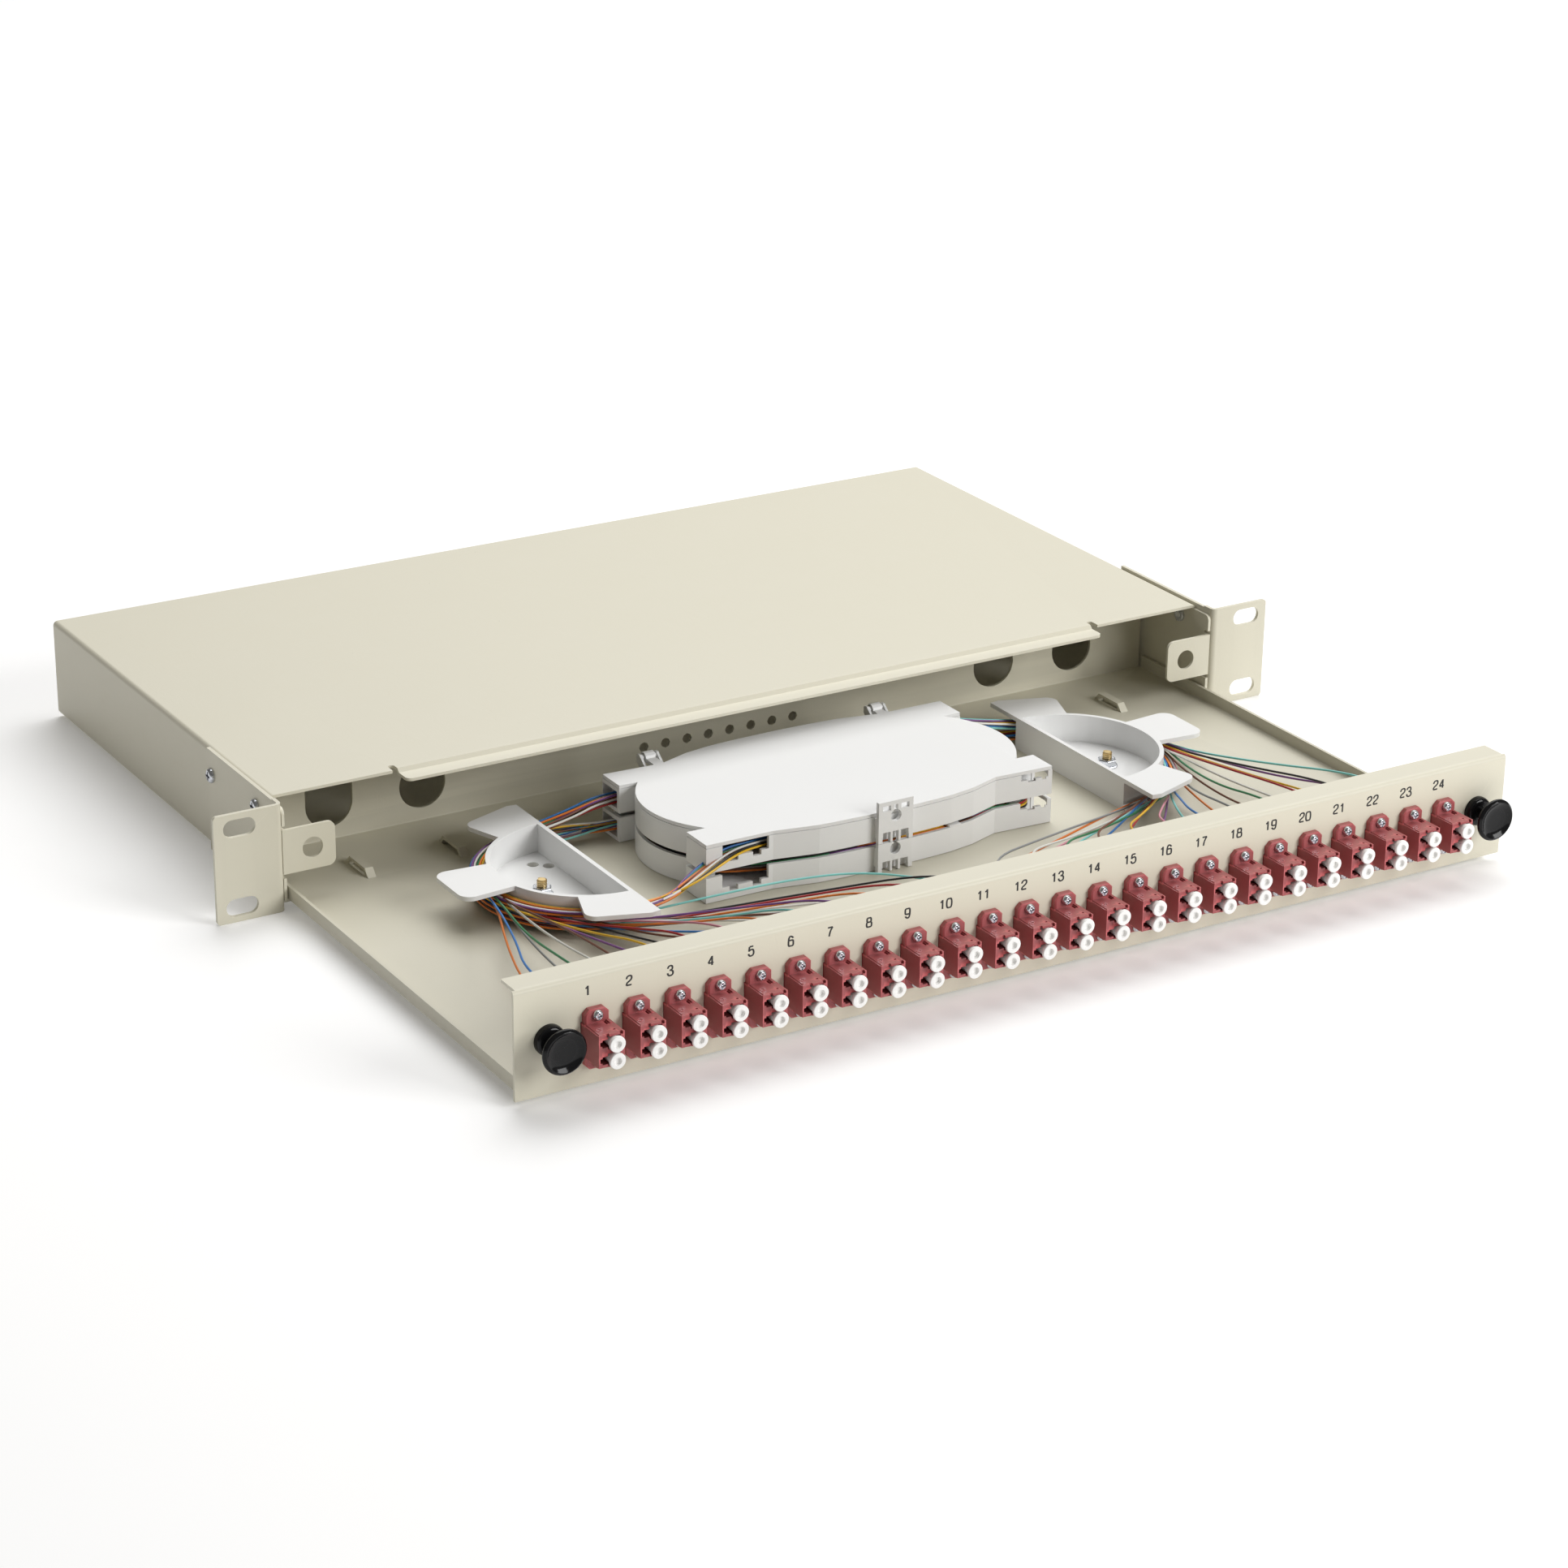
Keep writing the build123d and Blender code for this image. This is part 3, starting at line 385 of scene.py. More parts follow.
def shared_effect(build):
    """The shader group of an effect, made once for all finishes."""
    name = build.__name__.replace("_", " ")
    if name in bpy.data.node_groups:
        return bpy.data.node_groups[name]
    group = bpy.data.node_groups.new(name, "ShaderNodeTree")
    values, results = EFFECTS[build]
    group.interface.new_socket("Place", in_out="INPUT", socket_type="NodeSocketVector")
    for label, value in values.items():
        socket = group.interface.new_socket(label, in_out="INPUT", socket_type="NodeSocketFloat")
        socket.default_value = value
    for label in results:
        group.interface.new_socket(label, in_out="OUTPUT", socket_type="NodeSocketFloat")
    given, out = group.nodes.new("NodeGroupInput"), group.nodes.new("NodeGroupOutput")
    for result, socket in zip(build(group, given.outputs), out.inputs):
        group.links.new(result, socket)
    return group


def toned(colour, factor=1.0):
    return tuple(min(1.0, channel * factor) for channel in colour) + (1.0,)


def finish(
    name,
    colour,
    roughness,
    shade=0.9,
    spread=0.06,
    grain=(1200.0, 0.00002),
    drift_scale=12.0,
    fleck=(800.0, 0.01, 0.7),
    edge=(0.3, 1.25),
    scratch=(60.0, 0.2),
    dust=0.08,
    metallic=0.0,
    coat=0.0,
    specular=0.5,
):
    """A finish with grain, drift of tone, flecks, edges lightened by rubbed wear and a painted
    highlight, hairlines and a little dust.

    The grain is (scale, height), the fleck (scale, share, tone), the edge (rub and painted highlight,
    tone) and the scratch (scale, share). Tones are factors on the colour.
    """
    if name in bpy.data.materials:
        return bpy.data.materials[name]
    material = bpy.data.materials.new(name)
    material.use_nodes = True
    tree = material.node_tree
    place = add_node(tree, "TexCoord")["Object"]

    def effect(build, values):
        return add_node(tree, "Group", {"Place": place, **values}, node_tree=shared_effect(build))

    play = effect(
        surface_play,
        {
            "Grain Scale": grain[0],
            "Drift Scale": drift_scale,
            "Fleck Scale": fleck[0],
            "Fleck Share": fleck[1],
            "Edge Rub And Highlight": edge[0],
        },
    )
    hairlines = effect(fine_scratches, {"Scale": scratch[0], "Share": scratch[1]})["Scratch"]
    dirt = effect(settled_dust, {"Amount": dust})["Dust"]
    seen = toned(colour)
    for mask, tone in (
        (play["Drift"], toned(colour, shade)),
        (play["Fleck"], toned(colour, fleck[2])),
        # the edge tone is partly rubbed wear and partly a painted highlight
        (play["Edge"], toned(colour, edge[1])),
        (dirt, toned(DUST_COLOUR)),
    ):
        inputs = {"Factor": mask, "A": seen, "B": tone}
        seen = add_node(tree, "Mix", inputs, data_type="RGBA")["Result"]
    wear = 0.25
    limits = {"To Min": roughness - spread, "To Max": roughness + spread}
    gloss = add_node(tree, "MapRange", {"Value": play["Drift"], **limits})["Result"]
    relief = maths(tree, "SUBTRACT", play["Grain"], hairlines)
    bump = {"Strength": 0.6, "Distance": grain[1], "Height": relief}
    shader_inputs = {
        "Base Color": seen,
        "Roughness": maths(tree, "MULTIPLY_ADD", hairlines, wear, gloss),
        "Normal": add_node(tree, "Bump", bump)["Normal"],
        "Metallic": metallic,
        "Coat Weight": coat,
        "Coat Roughness": 0.08,
        "Specular IOR Level": specular,
    }
    for label, value in shader_inputs.items():
        feed(tree, tree.nodes["Principled BSDF"].inputs[label], value)
    return material


# Finishes of this object


def powder_coat(name="powder coat", depth=1.0):
    # a depth below 1 darkens the coat as painted shade
    colour = [channel * depth for channel in finishes().coat]
    return finish(
        name, colour, 0.46, shade=0.95, grain=(900.0, 0.00005), drift_scale=7.0,
        fleck=(650.0, 0.003, 0.65), edge=(0.5, 1.12), dust=0.05,
    )


def adapter_plastic():
    return finish(
        "adapter plastic", finishes().adapter, 0.33, shade=0.82, grain=(1500.0, 0.00003),
        drift_scale=70.0, edge=(0.8, 1.7), scratch=(140.0, 0.2), dust=0.03,
    )


def white_moulding():
    return finish(
        "white moulding", finishes().moulding, 0.3, shade=0.96, spread=0.03, grain=(700.0, 0.000006),
        drift_scale=9.0, fleck=(700.0, 0.001, 0.8), edge=(0.0, 1.0), scratch=(30.0, 0.01), dust=0.01,
    )


def cap_plastic():
    return finish(
        "cap plastic", (0.88, 0.87, 0.85), 0.38, shade=0.94, grain=(1600.0, 0.00002),
        drift_scale=90.0, fleck=(900.0, 0.004, 0.85), dust=0.02,
    )


def knob_plastic():
    # edges three times lighter than the near-black: rubbed wear and a painted highlight on the rim
    return finish(
        "knob plastic", finishes().knob, 0.11, shade=1.5, spread=0.04, grain=(900.0, 0.00001),
        drift_scale=60.0, fleck=(1200.0, 0.01, 4.0), edge=(0.4, 3.0), scratch=(120.0, 0.12),
        dust=0.002, specular=0.22,
    )


def bare_metal(name, colour, roughness, shade, drift_scale, edge):
    return finish(
        name, colour, roughness, shade=shade, grain=(2500.0, 0.00002), drift_scale=drift_scale,
        edge=edge, scratch=(400.0, 0.5), dust=0.0, metallic=1.0,
    )


def zinc_plate():
    return bare_metal("zinc plate", (0.62, 0.64, 0.68), 0.26, 0.75, 300.0, (0.6, 1.3))


def yellow_passivation():
    return bare_metal("yellow passivation", (0.60, 0.45, 0.22), 0.33, 0.65, 400.0, (0.7, 1.4))


def plug_plastic():
    return finish(
        "plug plastic", (0.44, 0.42, 0.38), 0.4, grain=(1500.0, 0.00002), drift_scale=90.0,
        edge=(0.4, 1.3),
    )


def sleeve_plastic():
    return finish(
        "shrink sleeve", (0.58, 0.60, 0.60), 0.22, shade=0.85, grain=(800.0, 0.00003),
        drift_scale=120.0, dust=0.0, coat=0.4,
    )


def number_ink():
    return finish(
        "number ink", finishes().ink, 0.5, shade=1.5, grain=(3000.0, 0.00001), drift_scale=400.0,
        fleck=(900.0, 0.03, 4.0), dust=0.02,
    )


def fibre_jacket(colour):
    return finish(
        f"{colour} fibre jacket", FIBRE_COLOURS[colour], 0.34, shade=0.8, grain=(1400.0, 0.00003),
        drift_scale=45.0, fleck=(600.0, 0.02, 0.7), scratch=(200.0, 0.2), dust=0.03,
    )


def floor_paper():
    """Pale paper with a faint glow of its own."""
    paper = finish(
        "studio floor", (0.9, 0.9, 0.9), 0.8, shade=0.99, fleck=(1.0, 0.0, 1.0),
        scratch=(1.0, 0.0), dust=0.0, specular=0.1,
    )
    glow = paper.node_tree.nodes["Principled BSDF"]
    glow.inputs["Emission Color"].default_value = (1, 1, 1, 1)
    glow.inputs["Emission Strength"].default_value = 0.15
    return paper


# Mesh helpers


def put_in_scene(name, data):
    made = bpy.data.objects.new(name, data)
    bpy.context.scene.collection.objects.link(made)
    return made


def give(piece, body, stands_for=()):
    """Puts a piece on its body and hides the parts of the model that it stands for."""
    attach(piece, body)
    if stands_for:
        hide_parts(*stands_for)
    return piece


def add_piece(name, form, finish_of_piece, body, stands_for=()):
    """Makes a piece from a mesh drawn in millimetres."""
    bmesh.ops.recalc_face_normals(form, faces=form.faces)
    bmesh.ops.scale(form, vec=(MM, MM, MM), verts=form.verts)
    mesh = bpy.data.meshes.new(name)
    form.to_mesh(mesh)
    form.free()
    mesh.materials.append(finish_of_piece)
    mesh.shade_smooth()
    mesh.set_sharp_from_angle(angle=SMOOTH_ANGLE)
    return give(put_in_scene(name, mesh), body, stands_for)


def round_edges(piece, edge, segments=2):
    """Rounds the edges of a piece, and shades its flat faces as flat."""
    bevel = piece.modifiers.new("round edges", "BEVEL")
    bevel.width = edge
    bevel.segments = segments
    bevel.limit_method = "ANGLE"
    bevel.angle_limit = BEVEL_ANGLE
    piece.modifiers.new("even shading", "WEIGHTED_NORMAL").keep_sharp = True


def dress(node, finish_of_node, edge, segments=2, seam=0.0):
    """Gives a node of the model its finish, draws it in where it shows a seam, and rounds its edges."""
    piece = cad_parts[node]
    for place in piece.material_slots:
        place.material = finish_of_node
    piece.modifiers.new("join corners", "WELD").merge_threshold = WELD_DISTANCE
    if seam:
        drawn_in = piece.modifiers.new("seam", "DISPLACE")
        drawn_in.mid_level = 0.0
        drawn_in.strength = -seam
    round_edges(piece, edge, segments)


def turned(form, profile, place, axis, steps=None):
    """Adds a turned solid. The profile is (radius, distance) pairs; a radius may depend on the angle."""
    steps = steps or sizes().round_steps
    turn_up = UP.rotation_difference(axis).to_matrix().to_4x4()
    to_place = Matrix.Translation(Vector(place)) @ turn_up
    rings = []
    for radius, along in profile:
        ring = []
        for i in range(1 if radius == 0 else steps):
            turn = tau * i / steps
            reach = radius(turn) if callable(radius) else radius
            corner = Vector((reach * cos(turn), reach * sin(turn), along))
            ring.append(form.verts.new(to_place @ corner))
        rings.append(ring)
    for near, far in zip(rings, rings[1:]):
        for i in range(steps):
            corners = (
                near[i % len(near)],
                near[(i + 1) % len(near)],
                far[(i + 1) % len(far)],
                far[i % len(far)],
            )
            form.faces.new(list(dict.fromkeys(corners)))


def rounded(corners, steps=3):
    """A profile whose (radius, distance, rounding) corners are swept as curves."""
    points = [Vector(corner[:2]) for corner in corners]
    profile = []
    for i, corner in enumerate(corners):
        size = corner[2] if len(corner) == 3 else 0
        if not size:
            profile.append(tuple(points[i]))
            continue
        start = points[i] + (points[i - 1] - points[i]).normalized() * size
        end = points[i] + (points[i + 1] - points[i]).normalized() * size
        for step in range(steps + 1):
            t = step / steps
            spot = start * (1 - t) ** 2 + points[i] * 2 * t * (1 - t) + end * t**2
            profile.append(tuple(spot))
    return profile


def block(form, low, high, edge):
    """Adds a box between two corners, with rounded edges."""
    low, high = Vector(low), Vector(high)
    placed = Matrix.Translation((low + high) / 2) @ Matrix.Diagonal((high - low).to_4d())
    made = bmesh.ops.create_cube(form, size=1.0, matrix=placed)
    edges = {edge_of for corner in made["verts"] for edge_of in corner.link_edges}
    bmesh.ops.bevel(form, geom=list(edges), offset=edge, segments=2, profile=0.5, affect="EDGES")


def carved(form, solids, hollows):
    """Adds boxes with other boxes cut out, each a (low, high) pair, as one closed skin."""
    breaks = []
    for axis in range(3):
        places = {corner[axis] for box in solids for corner in box}
        low, high = min(places), max(places)
        places |= {corner[axis] for box in hollows for corner in box if low < corner[axis] < high}
        breaks.append(sorted(places))

    def within(spot, boxes):
        return any(all(a < s < b for a, s, b in zip(low, spot, high)) for low, high in boxes)

    def full(cell):
        if any(not 0 <= i < len(line) - 1 for i, line in zip(cell, breaks)):
            return False
        spot = [(line[i] + line[i + 1]) / 2 for i, line in zip(cell, breaks)]
        return within(spot, solids) and not within(spot, hollows)

    corners = {}

    def corner(index):
        if index not in corners:
            corners[index] = form.verts.new([line[i] for i, line in zip(index, breaks)])
        return corners[index]

    for cell in product(*(range(len(line) - 1) for line in breaks)):
        if not full(cell):
            continue
        for axis in range(3):
            for step in (0, 1):
                beside = list(cell)
                beside[axis] += 2 * step - 1
                if full(tuple(beside)):
                    continue
                face = []
                for turn in ((0, 0), (1, 0), (1, 1), (0, 1)):
                    index = list(cell)
                    index[axis] += step
                    index[(axis + 1) % 3] += turn[0]
                    index[(axis + 2) % 3] += turn[1]
                    face.append(corner(tuple(index)))
                form.faces.new(face if step else face[::-1])


def plate(form, edge, depths, chamfer):
    """Adds a plate with an outline in (x, z), its front face drawn in by a chamfer."""
    back_y, shoulder_y, front_y = depths
    middle = sum((Vector(spot) for spot in edge), Vector((0, 0))) / len(edge)
    rings = []
    for y, inset in ((back_y, 0.0), (shoulder_y, 0.0), (front_y, chamfer)):
        ring = []
        for i, spot in enumerate(edge):
            before = (Vector(edge[i]) - Vector(edge[i - 1])).normalized()
            after = (Vector(edge[(i + 1) % len(edge)]) - Vector(edge[i])).normalized()
            inward = Vector((before.y + after.y, -before.x - after.x))
            inward *= 2 / inward.length_squared
            if inward.dot(middle - Vector(spot)) < 0:
                inward = -inward
            place = Vector(spot) + inward * inset
            ring.append(form.verts.new((place.x, y, place.y)))
        rings.append(ring)
    form.faces.new(rings[0])
    form.faces.new(rings[-1][::-1])
    for near, far in zip(rings, rings[1:]):
        for i in range(len(edge)):
            form.faces.new((near[i - 1], near[i], far[i], far[i - 1]))


def cross_reach(length, width):
    """The outline of a cross recess, as a radius that depends on the angle."""

    def reach(turn):
        off_arm = abs((turn + pi / 4) % (pi / 2) - pi / 4)
        return min(length / cos(off_arm), width / max(sin(off_arm), 1e-6))

    return reach


def cross_screw(form, place, axis, radius, height):
    """Adds a pan head with a cross recess, seated at place."""
    recess = cross_reach(0.62 * radius, 0.17 * radius)
    profile = [
        (0, -0.4),
        (radius * 0.5, -0.4),
        (radius * 0.5, 0),
        (radius, 0.1),
        (radius * 0.97, height * 0.55),
        (radius * 0.84, height * 0.84),
        (radius * 0.66, height),
        (recess, height),
        (recess, height * 0.45),
        (0, height * 0.35),
    ]
    turned(form, profile, place, axis)


def threaded_rod(form, place, radius, depth, pitch, height, steps=16):
    """Adds an upright rod with a screw thread, and a plain core that closes its ends."""
    place = Vector(place)
    roots, crests = [], []
    for i in range(int(height / pitch * steps)):
        turn = tau * i / steps
        rise = pitch * i / steps
        spoke = Vector((cos(turn), sin(turn), 0))
        roots.append(form.verts.new(place + spoke * (radius - depth) + UP * rise))
        crests.append(form.verts.new(place + spoke * radius + UP * (rise + pitch / 2)))
    for i in range(len(roots) - 1):
        form.faces.new((roots[i], roots[i + 1], crests[i + 1], crests[i]))
        if i + 1 + steps < len(roots):
            form.faces.new((crests[i], crests[i + 1], roots[i + 1 + steps], roots[i + steps]))
    core = radius - depth * 0.6
    tip = height + 0.3
    turned(form, ((0, 0), (core, 0), (core, height), (core - 0.3, tip), (0, tip)), place, UP)


def round_line(name, radius, resolution):
    """An empty curve that is drawn as a round thread."""
    line = bpy.data.curves.new(name, "CURVE")
    line.dimensions = "3D"
    line.resolution_u = resolution
    line.bevel_depth = radius
    line.bevel_resolution = 2
    line.use_fill_caps = True
    return line


def add_spline(line, points):
    """Adds a smooth run to a curve, from control points in metres, closed where it ends at its start."""
    closed = (Vector(points[0]) - Vector(points[-1])).length < 0.00001
    if closed:
        points = points[:-1]
    spline = line.splines.new("NURBS")
    spline.points.add(len(points) - 1)
    for control, point in zip(spline.points, points):
        control.co = (*Vector(point), 1.0)
    spline.order_u = min(3, len(points))
    spline.use_cyclic_u = closed
    spline.use_endpoint_u = not closed
    spline.use_smooth = True
    return spline


def fibres(name, routes, body="drawer", stands_for=(), hinge_lead=None):
    """Smooth fibres in one piece, each route a colour and its control points in millimetres.

    Given hinge_lead, the fibres are turned into one mesh in place and put on no body; the points of
    hinge_lead are not read.
    """
    line = round_line(name, sizes().fibre_diameter / 2, resolution=7)
    colours = sorted({colour for colour, points in routes})
    for colour in colours:
        line.materials.append(fibre_jacket(colour))
    for colour, points in routes:
        spline = add_spline(line, [Vector(point) * MM for point in points])
        spline.material_index = colours.index(colour)
    piece = put_in_scene(name, line)
    if not hinge_lead:
        return give(piece, body, stands_for)
    bpy.context.view_layer.update()
    mesh = bpy.data.meshes.new_from_object(piece)
    bpy.data.objects.remove(piece)
    mesh.shade_smooth()
    piece = put_in_scene(name, mesh)
    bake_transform(piece)
    return piece


# Fibre routes


def guide_lane(side, radius, z, start, end):
    """Control points of an arc round a guide, from one angle to another, from its outward axis."""
    widest_step = 40
    count = ceil(abs(start - end) / widest_step)
    step = (start - end) / count
    corner = radius / cos(radians(step / 2))
    points = []
    for i in range(count):
        angle = radians(start - step * (i + 0.5))
        out, along = corner * cos(angle), corner * sin(angle)
        points.append(Vector((side * (GUIDE_X + out), GUIDE_Y + along, z)))
    return points


def pigtail(side, number, chance):
    """A fibre from its cassette port, round the guide and out to its plug."""
    port = number // 2 if side == LEFT else -1 - number // 2
    plug = Vector((adapter_middles[port] + PLUG_SIDE, adapter_rear_y, PLUG_HEIGHTS[number % 2]))
    plug.y += PLUG_LENGTH + BOOT_LENGTH - 0.1
    # of the four layers, the upper two come from the upper cassette
    layer, lane = divmod(LAST_FIBRE - number, LANES)
    radius = GUIDE_RADIUS + 0.9 + FIBRE_PITCH * lane + chance.uniform(-0.15, 0.15)
    z = floor_z + 2.4 + LAYER_PITCH * layer + chance.uniform(-0.3, 0.3)
    port_z = (-1.6 if layer > 1 else -13.6) + chance.uniform(-1.6, 1.6)
    spread = chance.uniform(-2.4, 2.4)
    swing = radius - 42.0
    if side == LEFT:
        points = [
            Vector((-68.0, -6.6 + spread * 0.7, port_z)),
            Vector((-82.0, -6.0 + spread, port_z)),
            Vector((-97.0, -5.4 + swing + spread * 0.3, (port_z + z) / 2)),
        ]
    else:
        port_z += 3.6
        points = [
            Vector((56.0 + spread, -7.0, port_z)),
            Vector((66.0 + spread, 3.0 + spread * 0.4, port_z)),
            Vector((84.0, 0.5 + swing, (port_z + z) / 2)),
        ]
    # the nearer its plug to the middle, the further round the guide a fibre goes
    far_out = 150.0
    inward = max(0.0, (far_out - abs(plug.x)) / far_out)
    leave = radians(-76.0 * inward**0.62 + (6.0 if inward == 0 else 0.0))
    points += guide_lane(side, radius, z, MEET_ANGLE, degrees(leave))
    spot = Vector((side * (GUIDE_X + radius * cos(leave)), GUIDE_Y + radius * sin(leave), z))
    heading = Vector((side * sin(leave), -cos(leave), 0.0))
    first_out = spot + heading * 17.0 + UP * chance.uniform(0.0, 1.5)
    before_plug = plug + Vector((0.0, 17.0, -1.0))
    middle = first_out.lerp(before_plug, 0.52)
    middle += Vector((chance.uniform(-2.0, 2.0), chance.uniform(-1.5, 3.5), chance.uniform(-2.5, 0)))
    on_the_way = BOW if side == LEFT and number == LAST_FIBRE else (first_out, middle)
    return points + [*on_the_way, before_plug, plug]


def behind_wall(x, inside, z):
    """A place behind the front wall of a cassette, measured square to the panel from its outer face."""
    for (low_x, low_y), (high_x, high_y) in zip(FRONT_WALL, FRONT_WALL[1:]):
        if low_x <= x <= high_x:
            y = low_y + (high_y - low_y) * (x - low_x) / (high_x - low_x)
            return Vector((x, y + inside, z))
    raise ValueError(f"x = {x} is not behind the front wall")


def gap_fibre(row, start_x, end_x):
    """A fibre that comes up out of the lower cassette, runs along its front wall and goes down again."""
    inside, z = GAP_ROWS[row]
    third = (end_x - start_x) / 3
    run = [behind_wall(start_x + third * i, inside, z) for i in range(4)]
    rise, fall = (behind_wall(x, inside + 6, z - 2.2) for x in (start_x - 8, end_x + 8))
    return [rise, *run, fall]


def port_fan_fibre(number, chance):
    """A fibre that comes out of the gap and goes down behind the right front port."""
    inside, z = GAP_ROWS[number % 3]
    low = -8.9 - 0.42 * number
    return [
        behind_wall(30.0, inside + 5, z - 2.0),
        behind_wall(40.0, inside, z),
        behind_wall(50.0, inside, z + chance.uniform(-0.2, 0.2)),
        behind_wall(60.0, inside, (z + low) / 2),
        behind_wall(68.0, inside + 0.6, low),
        Vector((75.0, -71.0 + inside, low - 0.6)),
        Vector((75.4, -58.0, low - 1.0)),
    ]


def loop_fibre(number, chance):
    """A fibre from the open front port of the upper cassette back round the left guide."""
    rise = chance.uniform(-1.2, 1.2)
    across = number * 0.9
    radius = GUIDE_RADIUS + 1.2 + FIBRE_PITCH * (number % 5)
    z = -9.0 - 1.0 * (number % 3)
    return [
        Vector((-44.0, -76.5 + across * 0.4, -0.6 + rise)),
        Vector((-58.0, -78.5 + across * 0.4, 0.4 + rise)),
        Vector((-70.0, -83.5 + across, 0.2 + rise)),
        Vector((-86.0, -88.0 + across, -4.6)),
        Vector((-100.0, -87.5 - radius + 41.0, z)),
        *reversed(guide_lane(LEFT, radius, z, MEET_ANGLE, -85.0)),
        Vector((-95.0, -5.5, z - 1.0)),
        Vector((-82.0, -6.4, -12.0 + rise)),
        Vector((-70.0, -6.6, -12.0 + rise)),
    ]


def coil_turn(inset, z, chance):
    """One closed turn of fibre inside a cassette, along its wall."""
    reach = 35.5 - inset
    middle = 4.0 - inset * 0.3
    shape = (
        (0.0, -reach - middle),
        (38.0, -reach - 1.0),
        (42.0 + reach, -reach * 0.62),
        (42.0 + reach, reach * 0.62),
        (38.0, reach + 1.0),
        (0.0, reach + middle),
        (-38.0, reach + 1.0),
        (-42.0 - reach, reach * 0.62),
        (-42.0 - reach, -reach * 0.62),
        (-38.0, -reach - 1.0),
        (0.0, -reach - middle),
    )
    return [
        Vector((x, CASSETTE_Y + y, z + (chance.uniform(-0.5, 0.5) if 0 < i < 10 else 0.0)))
        for i, (x, y) in enumerate(shape)
    ]


def splice_place(x, number, layer, floor):
    """A place on the axis of a splice protector, in its comb."""
    across = SLEEVE_PITCH * (number - (SLEEVES_IN_ROW - 1) / 2)
    return Vector((x, CASSETTE_Y + across, floor + 1.2 * (1 + 2.1 * layer)))


def splice_lead(side, number, layer, floor, chance):
    """A fibre from the end of a splice protector to the coil along the wall."""
    turn = 1 if (number + layer) % 2 else -1
    return [
        splice_place(side * (SLEEVE_REACH - 0.4), number, layer, floor),
        splice_place(side * 27.0, number, layer, floor),
        Vector((side * 46.0, CASSETTE_Y + turn * 6.0, floor + 3.0)),
        Vector((side * (66.0 + chance.uniform(-2, 2)), CASSETTE_Y + turn * 14.0, floor + 3.5)),
        Vector((side * 58.0, CASSETTE_Y + turn * 31.0, floor + 4.0)),
        Vector((side * 30.0, CASSETTE_Y + turn * (34.0 + chance.uniform(-1, 1)), floor + 4.5)),
        Vector((0.0, CASSETTE_Y + turn * 36.0, floor + 4.8)),
    ]


# Operators, one for each piece or group of like pieces


class SPLICE_OT_sheet_metal(bpy.types.Operator):
    """Powder coat and rounded edges for the cover, ears, drawer tray and front panel, the tray's coat
    darkened as painted shade
    """

    bl_idname = "splice_box.sheet_metal"
    bl_label = "Sheet metal"

    def execute(self, context):
        for node in ("housing_cover", "left_ear_bracket", "right_ear_bracket", "front_panel"):
            dress(node, powder_coat(), sizes().sheet_edge)
        # the tray has the cover's coat, darkened to 0.86 as painted shade inside the drawer
        dress("drawer_tray", powder_coat("powder coat with painted shade", depth=0.86), sizes().sheet_edge)
        return {"FINISHED"}


class SPLICE_OT_numbers(bpy.types.Operator):
    """Printed port numbers above the adapters"""

    bl_idname = "splice_box.numbers"
    bl_label = "Port numbers"

    def execute(self, context):
        size = sizes().digit_size
        for number, middle in enumerate(adapter_middles, start=1):
            line = round_line(f"port_number_{number:02d}", DIGIT_STROKE * size, resolution=6)
            line.materials.append(number_ink())
            digits = str(number)
            for i, digit in enumerate(digits):
                left = DIGIT_PITCH * (i - len(digits) / 2) + 0.07
                for stroke in DIGIT_STROKES[digit]:
                    add_spline(line, [Vector((x + left, y - 0.5, 0)) * size for x, y in stroke])
            piece = put_in_scene(line.name, line)
            piece.location = Vector((middle - 2.4, panel_front_y - 0.005, DIGIT_Z)) * MM
            piece.rotation_euler = (pi / 2, 0, 0)
            piece.scale = (DIGIT_WIDENING, 1.0, INK_FLATTENING)
            give(piece, "drawer")
        return {"FINISHED"}


